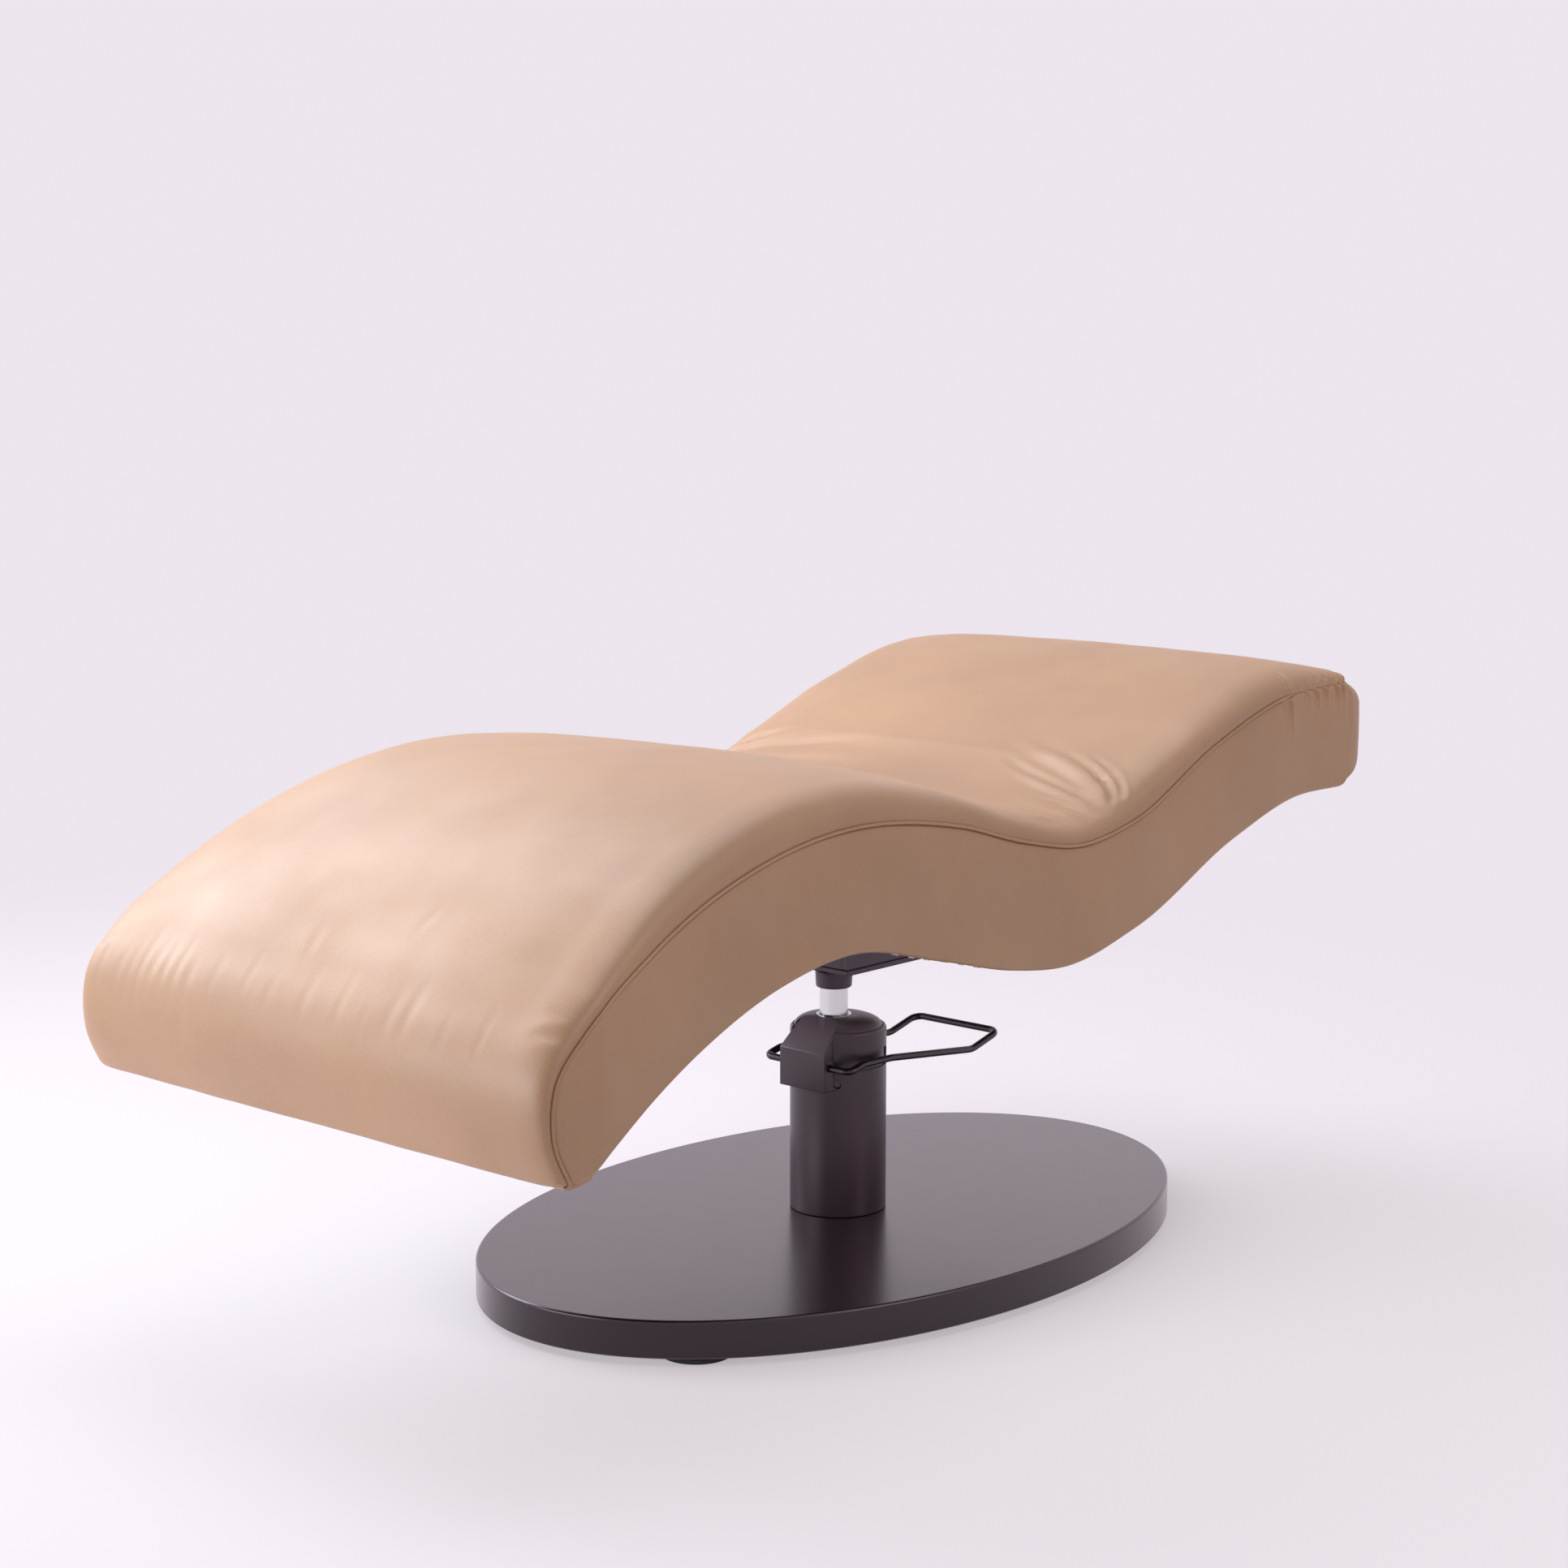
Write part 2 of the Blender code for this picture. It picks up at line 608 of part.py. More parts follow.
def build_cap(make):
    """Domed cap inside the shell's rim, with the hole for the rod forward of its middle."""
    radius = SHELL_RADIUS - SHELL_WALL - GAP
    inner = radius - CAP_SKIRT_WALL
    under = GUIDE_TOP + GAP
    profile = [(CAP_HOLE, under), (inner, under), (inner, CAP_SKIRT_LOW), (radius, CAP_SKIRT_LOW)]
    for k in range(7):
        turn = 0.45 * math.pi * k / 6
        profile.append((CAP_FLAT + (radius - CAP_FLAT) * math.cos(turn),
                        CAP_EDGE + (CAP_TOP - CAP_EDGE) * math.sin(turn)))
    profile.append((CAP_HOLE, CAP_TOP))
    rings = []
    for reach, height in profile:
        centre = (0.0, RAM_Y * (radius - reach) / (radius - CAP_HOLE))
        rings.append(circle(centre, reach, height, ROUND_FINE))
    cap = make.loft("pump_cap", rings, "pump_black", closed=True)
    back = -NOSE_BACK + GAP
    low = CAP_SKIRT_LOW - CAP_SKIRT_WALL
    top = NOSE_TOP + SLOPE_CUT_RISE
    outline = [(-SLOPE_CUT_FACE, low), (back, low), (back, slope_height(back)), (slope_place(top), top),
               (-SLOPE_CUT_FACE, top)]
    half = NOSE_HALF + GAP
    join(cap, make.prism("cap_slope_cut", outline, -half, half, None), "DIFFERENCE")


def slope_height(y):
    """Height of the nose's sloping face at a distance along Y."""
    share = (y + NOSE_FACE) / (NOSE_FACE - NOSE_TOP_FACE)
    return NOSE_SHOULDER + (NOSE_TOP - NOSE_SHOULDER) * share


def slope_place(z):
    share = (z - NOSE_SHOULDER) / (NOSE_TOP - NOSE_SHOULDER)
    return -NOSE_FACE + (NOSE_FACE - NOSE_TOP_FACE) * share


def build_shell(make, floor):
    """Outer cover of the pump with its nose, lever bore, arm recesses and screw holes."""
    profile = [(SHELL_RADIUS - SHELL_WALL, floor), (SHELL_RADIUS, floor),
               (SHELL_RADIUS, SHELL_TOP), (SHELL_RADIUS - SHELL_WALL, SHELL_TOP)]
    shell = make.turned("pump_shell", profile, "pump_black", bored=True)
    top = NOSE_TOP + SLOPE_CUT_RISE
    outline = [(-NOSE_FACE, NOSE_SHOULDER), (slope_place(top), top), (-SLOPE_CUT_FACE, top),
               (-SLOPE_CUT_FACE, NOSE_SHOULDER)]
    join(shell, make.prism("shell_slope_cut", outline, -NOSE_HALF, NOSE_HALF, None), "DIFFERENCE")
    outline = [(-NOSE_FACE, NOSE_LOW), (-NOSE_FACE, NOSE_SHOULDER), (-NOSE_TOP_FACE, NOSE_TOP),
               (-NOSE_BACK, NOSE_TOP), (-NOSE_BACK, NOSE_LOW)]
    join(shell, make.prism("nose_block", outline, -NOSE_HALF, NOSE_HALF, None), "UNION")
    bore = []
    for x in (-NOSE_HALF - SHELL_WALL, NOSE_HALF + SHELL_WALL):
        ring = []
        for i in range(ROUND_SMALL):
            angle = 2.0 * math.pi * i / ROUND_SMALL
            ring.append((x, LEVER_AXIS_Y + LEVER_BORE * math.cos(angle),
                         LEVER_AXIS_Z + LEVER_BORE * math.sin(angle)))
        bore.append(ring)
    join(shell, make.loft("lever_bore_cut", bore, None), "DIFFERENCE")
    for side in (-1, 1):
        cutter = make.loft("recess_cut_%d" % side, recess_rings(side), None)
        join(shell, cutter, "DIFFERENCE")
    for number, degrees in enumerate(SCREW_ANGLES_DEG, start=1):
        angle = math.radians(degrees)
        hole_back = SHELL_RADIUS - SHELL_WALL - SCREW_DEPTH
        cutter = make.loft("screw_cut_%d" % number,
                           radial_rings(angle, SCREW_RADIUS + GAP, hole_back, RECESS_REACH), None)
        join(shell, cutter, "DIFFERENCE")
        make.loft("cover_screw_%d" % number,
                  radial_rings(angle, SCREW_RADIUS, SHELL_RADIUS - SCREW_DEPTH,
                               SHELL_RADIUS + SCREW_PROUD), "dark_steel")


def recess_rings(side):
    """Ring sector round one flank of the shell."""
    first, last = RECESS_SPAN_DEG
    outline = []
    steps = 8
    for radius, order in ((RECESS_FLOOR, range(steps + 1)), (RECESS_REACH, range(steps, -1, -1))):
        for k in order:
            angle = math.radians(first + (last - first) * k / steps)
            outline.append((side * radius * math.cos(angle), radius * math.sin(angle)))
    return [[(x, y, z) for x, y in outline] for z in (RECESS_LOW, RECESS_HIGH)]


def radial_rings(angle, radius, near, far):
    """Two rings of a short round bar that points away from the column's axis."""
    out = Vector((math.cos(angle), math.sin(angle), 0.0))
    across = Vector((-math.sin(angle), math.cos(angle), 0.0))
    rings = []
    for reach in (near, far):
        ring = []
        for i in range(ROUND_SMALL // 2):
            turn = 4.0 * math.pi * i / ROUND_SMALL
            point = out * reach + across * (radius * math.cos(turn))
            ring.append((point.x, point.y, SCREW_Z + radius * math.sin(turn)))
        rings.append(ring)
    return rings


def join(item, other, operation):
    """Boolean with a hidden second body."""
    other.hide_render = True
    other.display_type = "WIRE"
    step = item.modifiers.new(other.name, "BOOLEAN")
    step.operation = operation
    step.solver = "EXACT"
    step.object = other


def build_piston(make):
    axis = (0.0, RAM_Y)
    make.turned("piston_rod", [(ROD_RADIUS, ROD_LOW), (ROD_RADIUS, ROD_TOP)], "bright_steel", axis)
    make.turned("piston_head", [(PISTON_RADIUS, PISTON_LOW), (PISTON_RADIUS, ROD_LOW - GAP)],
                "dark_steel", axis)


def build_lever(make):
    """One closed loop of bent rod: its pivot run passes through the nose."""
    corners = [(Vector((LEVER_HALF, y, z)), radius) for y, z, radius in LEVER_CORNERS]
    mirrored = [(Vector((-p.x, p.y, p.z)), radius) for p, radius in reversed(corners)]
    corners += mirrored
    path = []
    for i, (corner, radius) in enumerate(corners):
        before = corners[i - 1][0]
        after = corners[(i + 1) % len(corners)][0]
        path += bend(before, corner, after, radius)
    rings = []
    up = Vector((0.0, 0.0, 1.0))
    for i, point in enumerate(path):
        travel = (path[(i + 1) % len(path)] - path[i - 1]).normalized()
        side = travel.cross(up).normalized()
        lift = side.cross(travel).normalized()
        ring = []
        for k in range(TUBE_SIDES):
            angle = 2.0 * math.pi * k / TUBE_SIDES
            ring.append(point + side * (LEVER_ROD * math.cos(angle)) + lift * (LEVER_ROD * math.sin(angle)))
        rings.append(ring)
    make.loft("foot_lever", rings, "lever_black", closed=True)


def bend(before, corner, after, radius):
    """Points of the arc that rounds one corner."""
    inward = (before - corner).normalized()
    onward = (after - corner).normalized()
    opening = inward.angle(onward)
    run = radius / math.tan(opening / 2.0)
    centre = corner + (inward + onward).normalized() * (radius / math.sin(opening / 2.0))
    start = corner + inward * run - centre
    end = corner + onward * run - centre
    sweep = start.angle(end)
    steps = max(2, round(BEND_STEPS * sweep / (0.5 * math.pi)) + 1)
    points = []
    for k in range(steps + 1):
        share = k / steps
        weight_a = math.sin((1.0 - share) * sweep) / math.sin(sweep)
        weight_b = math.sin(share * sweep) / math.sin(sweep)
        points.append(centre + start * weight_a + end * weight_b)
    return points


def build_mount(make, body):
    make.turned("seat_socket", [
        (ROD_RADIUS + ROD_FIT, SOCKET_LOW), (SOCKET_RADIUS - SOCKET_EDGE, SOCKET_LOW),
        (SOCKET_RADIUS, SOCKET_LOW + SOCKET_EDGE), (SOCKET_TOP_RADIUS, SOCKET_TOP),
        (0.0, SOCKET_TOP), (0.0, ROD_TOP + GAP), (ROD_RADIUS + ROD_FIT, ROD_TOP + GAP)],
        "mount_black", (0.0, RAM_Y), bored=True)
    merge_axis("seat_socket")
    make.box("mount_plate", (-PLATE_HALF, -PLATE_FRONT, PLATE_LOW), (PLATE_HALF, WEB_END, PLATE_TOP),
             "mount_black")
    low = PLATE_TOP + GAP
    inner_low = [p for p in body.belly_line(-2 * GAP) if -PLATE_FRONT < p.x < WEB_END]
    ends = [Vector((y, body.belly_height(y, -2 * GAP))) for y in (-PLATE_FRONT, WEB_END)]
    top_line = [ends[0]] + inner_low + [ends[1]]
    outline = [(-PLATE_FRONT, low), (WEB_END, low)]
    outline += [(p.x, p.y) for p in reversed(top_line)]
    for side, tag in ((-1, "left"), (1, "right")):
        edges = sorted((side * PLATE_HALF, side * (PLATE_HALF - WEB_THICKNESS)))
        make.prism("mount_web_" + tag, outline, edges[0], edges[1], "mount_black")
    half = PLATE_HALF - WEB_THICKNESS - GAP
    for tag, y in (("front", -PLATE_FRONT), ("rear", WEB_END - CROSS_THICKNESS)):
        a, b = y, y + CROSS_THICKNESS
        outline = [(a, low), (b, low), (b, body.belly_height(b, -2 * GAP)),
                   (a, body.belly_height(a, -2 * GAP))]
        make.prism("mount_cross_" + tag, outline, -half, half, "mount_black")
    number = 0
    for x in (-NUT_X, NUT_X):
        for y in (NUT_FRONT, NUT_REAR):
            number += 1
            make.turned("socket_nut_%d" % number, [(NUT_RADIUS, low), (NUT_RADIUS, low + NUT_HEIGHT)],
                        "dark_steel", (x, y), BOLT_SIDES)


def merge_axis(name):
    """Turned points that lie on the axis become one point each."""
    mesh = bpy.data.objects[name].data
    work = bmesh.new()
    work.from_mesh(mesh)
    on_axis = [v for v in work.verts if v.co.xy.length < GAP]
    bmesh.ops.remove_doubles(work, verts=on_axis, dist=GAP / 10)
    bmesh.ops.recalc_face_normals(work, faces=work.faces)
    work.to_mesh(mesh)
    work.free()


def main():
    clear_scene()
    body = Body()
    ends = [p[1] for ring in body.cushion_rings() for p in ring]
    ends.append(body.pad_back + PAD_DEPTH)
    make = Builder(-(min(ends) + max(ends)) / 2.0)
    build_base(make)
    build_pump(make)
    make.pivot = Vector((0.0, LEVER_AXIS_Y, LEVER_AXIS_Z))
    build_lever(make)
    make.pivot = Vector((0.0, RAM_Y, 0.0))
    build_piston(make)
    build_mount(make, body)
    build_body(make, body)


main()
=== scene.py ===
"""Eyelash extension bed: leather, metal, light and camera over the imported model."""
import json
import math

import bmesh
import bpy
import numpy as np
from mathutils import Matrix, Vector, noise


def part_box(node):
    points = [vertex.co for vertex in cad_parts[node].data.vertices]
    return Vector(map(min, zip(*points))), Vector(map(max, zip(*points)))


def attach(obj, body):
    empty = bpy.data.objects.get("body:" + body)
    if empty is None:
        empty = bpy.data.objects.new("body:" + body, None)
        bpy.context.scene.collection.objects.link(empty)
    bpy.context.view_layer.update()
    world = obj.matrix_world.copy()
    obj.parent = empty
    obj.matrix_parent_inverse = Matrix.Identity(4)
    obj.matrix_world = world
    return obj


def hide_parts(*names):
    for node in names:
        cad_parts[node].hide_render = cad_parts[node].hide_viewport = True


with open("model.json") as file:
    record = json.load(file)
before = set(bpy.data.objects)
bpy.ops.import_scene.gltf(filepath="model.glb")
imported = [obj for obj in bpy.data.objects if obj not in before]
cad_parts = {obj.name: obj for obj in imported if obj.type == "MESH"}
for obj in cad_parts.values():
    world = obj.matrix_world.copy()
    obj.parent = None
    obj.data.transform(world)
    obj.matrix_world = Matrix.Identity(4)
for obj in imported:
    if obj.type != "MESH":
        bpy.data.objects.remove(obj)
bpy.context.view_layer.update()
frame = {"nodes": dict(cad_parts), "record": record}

PLATE_LOW, PLATE_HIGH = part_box("base_plate")
AXIS_Y = (PLATE_LOW[1] + PLATE_HIGH[1]) / 2     # the column's axis, in the part's frame
SHIFT = (0.0, AXIS_Y, 0.0)
RAM_Y = -0.0088     # the ram stands a little forward of it

# Side outline, as shares: distance from the column's axis, and height above the belly's low point
LENGTH, WAVE_HEIGHT, BELLY_LOW = 1.62, 0.2965, 0.4196
SEAM = (
    (-0.529, -0.2486), (-0.542, -0.1038), (-0.539, 0.0929), (-0.515, 0.2349), (-0.444, 0.459),
    (-0.34, 0.6556), (-0.225, 0.7431), (-0.119, 0.6775), (-0.037, 0.5573), (0.034, 0.4972),
    (0.095, 0.5464), (0.212, 0.8141), (0.309, 0.9671), (0.411, 1.0),
)
BELLY = (
    (-0.52, -0.2541), (-0.51, -0.2486), (-0.497, -0.2076), (-0.475, -0.1475), (-0.395, 0.0492),
    (-0.304, 0.2022), (-0.231, 0.2568), (-0.133, 0.1475), (-0.049, 0.0382), (0.019, 0.0),
    (0.102, 0.0874), (0.241, 0.382), (0.327, 0.506), (0.411, 0.515),
)
PITCH, FINE_PITCH, FINE_RUN = 0.0055, 0.0017, 0.2     # stations along the seam, closer at the head end
END_ROUND_RUN, END_ROUND_RISE, END_ROUND_DROP = 0.018, 0.008, 0.0058    # last bend of belly and seam
FOOT_DROP, FOOT_BELLY_RUN, FOOT_SEAM_RUN = 0.0045, 0.14, 0.08     # covers hang below the frame there
SEAM_FADE_FROM, SEAM_FADE_TO = 0.5, 0.545     # the welt sinks into the gathers between these

# Plan and cross-section
HALF_WIDTH, FOOT_FLARE, HEAD_TAPER = 0.351, 0.04, 0.007
FLARE_START, TAPER_START = -0.2654, 0.1235
DECK = 0.0043     # height of the cushion's underside over the seam
DECK_SHEET, DECK_TOP, DECK_INSET = 0.0085, 0.0038, 0.009
CROWN_EDGE, CROWN_MIDDLE, EDGE_RUN = 0.036, 0.012, 0.06
EDGE_POWER = 0.58     # below 1 the cushion's edge is squarer than an ellipse
FOOT_PAD, FOOT_PAD_RUN = 0.012, 0.34
FULLNESS, FULL_Y, FULL_REACH = 0.012, -0.53, 0.29
# Further height of the cushion's edge, as (place, height)
CROWN_TRIM = (
    (-0.86, 0.002), (-0.8, -0.004), (-0.7, -0.003), (-0.6, -0.0035), (-0.5, -0.004), (-0.4, -0.0045),
    (-0.3, -0.003), (-0.2, -0.005), (-0.1, -0.01), (0.0, -0.0135), (0.06, -0.0145), (0.12, -0.011),
    (0.2, 0.001), (0.3, -0.0065), (0.4, -0.01), (0.5, -0.0085), (0.62, -0.003),
)
ROLL_RUN, ROLL_OVER, HEAD_CORNER = 0.2858, 0.0042, 0.022
FOOT_ROUND, HEAD_ROUND, HEAD_LIP = 0.011, 0.032, 0.0024
WELT_RADIUS = 0.0021
SIDE_TURN, HEM = 0.0055, 0.024     # bend of the side panel's lower edge, leather under the belly
LEATHER_SHEET = 0.0013
END_DEPTH, END_INSET, END_TOP, END_LOW = 0.055, 0.03, 0.032, 0.071
END_LAYERS, FACE_LAYERS = 24, 9     # rings round the end pad, and on its rear face
FACE_INSET, FACE_CLOSE = 0.09, 0.011
STAPLE_PITCH = 0.032

# Cloth run that fills the cushion
FILL_PRESSURE, FILL_CAP, FILL_SINK = 4.0, 0.006, 0.0025
FILL_PITCH, FILL_FRAMES, FILL_BLUR = 0.0095, 20, 8

# Pump and lever
SCREW_HEIGHT = 0.2307
ROD_RADIUS, LEVER_RADIUS = 0.0184, 0.0046


def curve(keys, steps):
    """Smooth curve through the keys, with the given number of points to each gap."""
    keys = np.array([(y * LENGTH, BELLY_LOW + z * WAVE_HEIGHT) for y, z in keys])
    pad = np.vstack([2 * keys[0] - keys[1], keys, 2 * keys[-1] - keys[-2]])
    t = (np.arange(steps) / steps)[:, None]
    h1, h2 = 2 * t ** 3 - 3 * t ** 2 + 1, t ** 3 - 2 * t ** 2 + t
    h3, h4 = -2 * t ** 3 + 3 * t ** 2, t ** 3 - t ** 2
    parts = []
    for a, b, c, d in zip(pad, pad[1:], pad[2:], pad[3:]):
        before, gap, after = (np.linalg.norm(v) for v in (b - a, c - b, d - c))
        slope_b = ((b - a) / before * gap + (c - b) / gap * before) / (gap + before)
        slope_c = ((c - b) / gap * after + (d - c) / after * gap) / (gap + after)
        parts.append(b * h1 + slope_b * gap * h2 + c * h3 + slope_c * gap * h4)
    return np.vstack(parts + [keys[-1:]])


def half_width(y):
    share = y / LENGTH
    flare = np.clip((FLARE_START - share) / (0.5 + FLARE_START), 0, 1)
    taper = np.clip((share - TAPER_START) / (0.5 - TAPER_START), 0, 1)
    return HALF_WIDTH + FOOT_FLARE * flare ** 1.6 - HEAD_TAPER * taper


def smooth(value):
    t = np.clip(value, 0, 1)
    return t ** 2 * (3 - 2 * t)


def seam_fade(y):
    """1 along the welted seam, falling to 0 where the head end's leather runs through."""
    return smooth((SEAM_FADE_TO - y) / (SEAM_FADE_TO - SEAM_FADE_FROM))


def end_crease(share_down):
    """Depth of the crease between side panel and end pad: deep at the top, gone lower down."""
    return 0.0032 * smooth((0.62 - share_down) / 0.5)


def left_normal(line):
    step = np.gradient(line, axis=0)
    step /= np.linalg.norm(step, axis=1)[:, None]
    return np.stack([-step[:, 1], step[:, 0]], 1)


def line_at(line, run, places):
    """Points of a (y, z) line at places along its run."""
    return np.stack([np.interp(places, run, line[:, k]) for k in (0, 1)], -1)


def points_at(x, line):
    """Points at x beside those of a (y, z) line or grid."""
    return np.stack(np.broadcast_arrays(x, line[..., 0], line[..., 1]), -1)


class Wave:
    """The side outline at stations along the seam; y is counted from the column's axis."""

    def __init__(self):
        seam, belly = curve(SEAM, 40), curve(BELLY, 40)
        run = np.concatenate([[0], np.cumsum(np.linalg.norm(np.diff(seam, axis=0), axis=1))])
        self.length = run[-1]
        bend = run[-1] - FINE_RUN
        self.s = np.concatenate([np.linspace(0, bend, int(bend / PITCH) + 1),
                                 np.linspace(bend, run[-1], int(FINE_RUN / FINE_PITCH) + 1)[1:]])
        self.seam, self.belly = line_at(seam, run, self.s), line_at(belly, run, self.s)
        self.out, self.up = left_normal(self.seam), left_normal(self.belly)
        for line, shift in ((self.belly, END_ROUND_RISE), (self.seam, -END_ROUND_DROP)):
            t = np.clip((line[:, 0] - line[-1, 0] + END_ROUND_RUN) / END_ROUND_RUN, 0, 1)
            line[:, 1] += shift * (1 - np.sqrt(1 - t ** 2))
        self.seam[:, 1] -= FOOT_DROP * smooth(1 - self.s / FOOT_SEAM_RUN)
        under = self.belly[:, 0]
        self.belly[:, 1] -= FOOT_DROP * smooth((under[0] + FOOT_BELLY_RUN - under) / FOOT_BELLY_RUN)
        self.y = self.seam[:, 0]
        self.width = half_width(self.y)

    def crown(self):
        """Height of the cushion's edge, further rise to the middle, and half width, by station."""
        head = self.y[-1]
        ease = smooth(self.s / FOOT_PAD_RUN)
        edge = FOOT_PAD + (CROWN_EDGE - FOOT_PAD) * ease
        away = np.clip(abs(self.y - FULL_Y) / FULL_REACH, 0, 1)
        edge += FULLNESS * np.cos(0.5 * np.pi * away) ** 2 + np.interp(self.y, *np.transpose(CROWN_TRIM))
        roll = np.clip((self.y - head + ROLL_RUN) / (ROLL_RUN + ROLL_OVER), 0, 1)
        fall = np.sqrt(1 - roll ** 2)
        turn = np.clip((self.y - head - ROLL_OVER + HEAD_CORNER) / HEAD_CORNER, 0, 1)
        width = self.width - HEAD_CORNER * (1 - np.sqrt(1 - turn ** 2))
        foot_end = np.clip(1 - self.s / FOOT_ROUND, 0, 1)
        head_end = np.clip(1 - (self.length - self.s) / HEAD_ROUND, 0, 1)
        ends = np.sqrt(1 - np.maximum(foot_end, head_end) ** 2) * 0.98 + 0.02
        lip = HEAD_LIP * smooth((self.y - head + 0.05) / 0.04)
        return np.hypot(edge * fall * ends, lip), CROWN_MIDDLE * ease * fall * ends, width


# ---- mesh helpers ----

def stand(name, data):
    """New object in the scene."""
    item = bpy.data.objects.new(name, data)
    bpy.context.scene.collection.objects.link(item)
    return item


def face_outwards(mesh):
    work = bmesh.new()
    work.from_mesh(mesh)
    bmesh.ops.recalc_face_normals(work, faces=work.faces)
    work.to_mesh(mesh)
    work.free()


def shade_smooth(mesh, sharp_deg=None):
    mesh.polygons.foreach_set("use_smooth", [True] * len(mesh.polygons))
    if sharp_deg:
        mesh.set_sharp_from_angle(angle=math.radians(sharp_deg))


def modify(item, name, kind, **settings):
    step = item.modifiers.new(name, kind)
    for key, value in settings.items():
        setattr(step, key, value)


def finish_mesh(name, mesh, body, slot, smooth_deg=None, look=None):
    face_outwards(mesh)
    shade_smooth(mesh, smooth_deg)
    item = stand(name, mesh)
    mesh.materials.append(LOOKS[look or slot])
    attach(item, body)
    return item


def mesh_of(name, points, faces):
    mesh = bpy.data.meshes.new(name)
    points = np.asarray(points, float).reshape(-1, 3) + SHIFT
    mesh.from_pydata(points.tolist(), [], faces)
    return mesh


def grid_faces(rows, columns, close_rows=False, close_columns=False):
    faces = []
    for i in range(rows if close_rows else rows - 1):
        for j in range(columns if close_columns else columns - 1):
            a, b = (i + 1) % rows, (j + 1) % columns
            faces.append((i * columns + j, i * columns + b, a * columns + b, a * columns + j))
    return faces


def skin_faces(rows, columns, closed=False):
    """Faces of a closed skin over rings, capped at both ends or joined end to end."""
    faces = grid_faces(rows, columns, close_rows=closed, close_columns=True)
    if not closed:
        faces += [tuple(range(columns)), tuple(range((rows - 1) * columns, rows * columns))]
    return faces


def loft(name, rings, body, slot, smooth_deg=None, closed=False, look=None):
    rings = np.asarray(rings, float)
    mesh = mesh_of(name, rings, skin_faces(*rings.shape[:2], closed))
    return finish_mesh(name, mesh, body, slot, smooth_deg, look)


def oval(half_x, half_y, height, centre=(0.0, 0.0), count=96):
    """Level ring of points."""
    angle = 2 * np.pi * np.arange(count) / count
    return np.stack([centre[0] + half_x * np.cos(angle), centre[1] + half_y * np.sin(angle),
                     np.full(count, height)], 1)


def turned(name, profile, body, slot, centre=(0.0, 0.0), sides=96, bored=False, smooth_deg=38):
    """Body of revolution over a profile of (radius, height)."""
    rings = [oval(radius, radius, height, centre, sides) for radius, height in profile]
    return loft(name, rings, body, slot, smooth_deg, bored)


def circle(centre, a, b, radius, count):
    """Points round a centre, in the plane of two unit vectors."""
    angles = (2 * math.pi * k / count for k in range(count))
    return [centre + a * (radius * math.cos(t)) + b * (radius * math.sin(t)) for t in angles]


def arc(centre_r, centre_z, radius, first_deg, last_deg, steps=6):
    """Profile points on an arc; 0 degrees points outwards and 90 up."""
    points = []
    for k in range(steps + 1):
        angle = math.radians(first_deg + (last_deg - first_deg) * k / steps)
        points.append((centre_r + radius * math.cos(angle), centre_z + radius * math.sin(angle)))
    return points


def outward(grid):
    """Unit normals of a grid of points, on its +Z side."""
    normal = np.cross(np.gradient(grid, axis=0), np.gradient(grid, axis=1))
    normal /= np.maximum(np.linalg.norm(normal, axis=-1), 1e-12)[..., None]
    return normal * np.sign(normal[len(grid) // 2, grid.shape[1] // 2, 2])


def soft_noise(grid, scale, seed):
    """Smooth noise from -1 to 1 at each point of a grid."""
    flat = grid.reshape(-1, 3)
    offset = Vector((seed * 7.3, seed * 3.1, seed * 5.7))
    values = [noise.noise(Vector(p) * scale + offset) for p in flat]
    return np.array(values).reshape(grid.shape[:2])


def fold_height(along, across, folds):
    """Sum of ridges (height above zero) and creases (below zero) drawn on a surface."""
    total = np.zeros_like(along)
    t = np.linspace(0, 1, 33)
    for height, breadth, *keys in folds:
        keys = np.reshape(keys, (-1, 2))
        knots = np.linspace(0, 1, len(keys))
        fit = np.stack([np.polyval(np.polyfit(knots, keys[:, k], len(keys) - 1), t) for k in (0, 1)], 1)
        low, high = fit.min(0) - breadth * 5, fit.max(0) + breadth * 5
        near = (along > low[0]) & (along < high[0]) & (across > low[1]) & (across < high[1])
        gap = np.linalg.norm(np.stack([along[near], across[near]], 1)[:, None] - fit, axis=2)
        d = gap.min(1) / breadth
        swell = np.sin(np.pi * np.clip(t[gap.argmin(1)] * 0.94 + 0.03, 0, 1)) ** 0.7
        total[near] += height * swell * (np.exp(-d ** 2) - 0.38 * np.exp(-((d - 1.9) / 0.9) ** 2))
    return total


# ---- materials ----

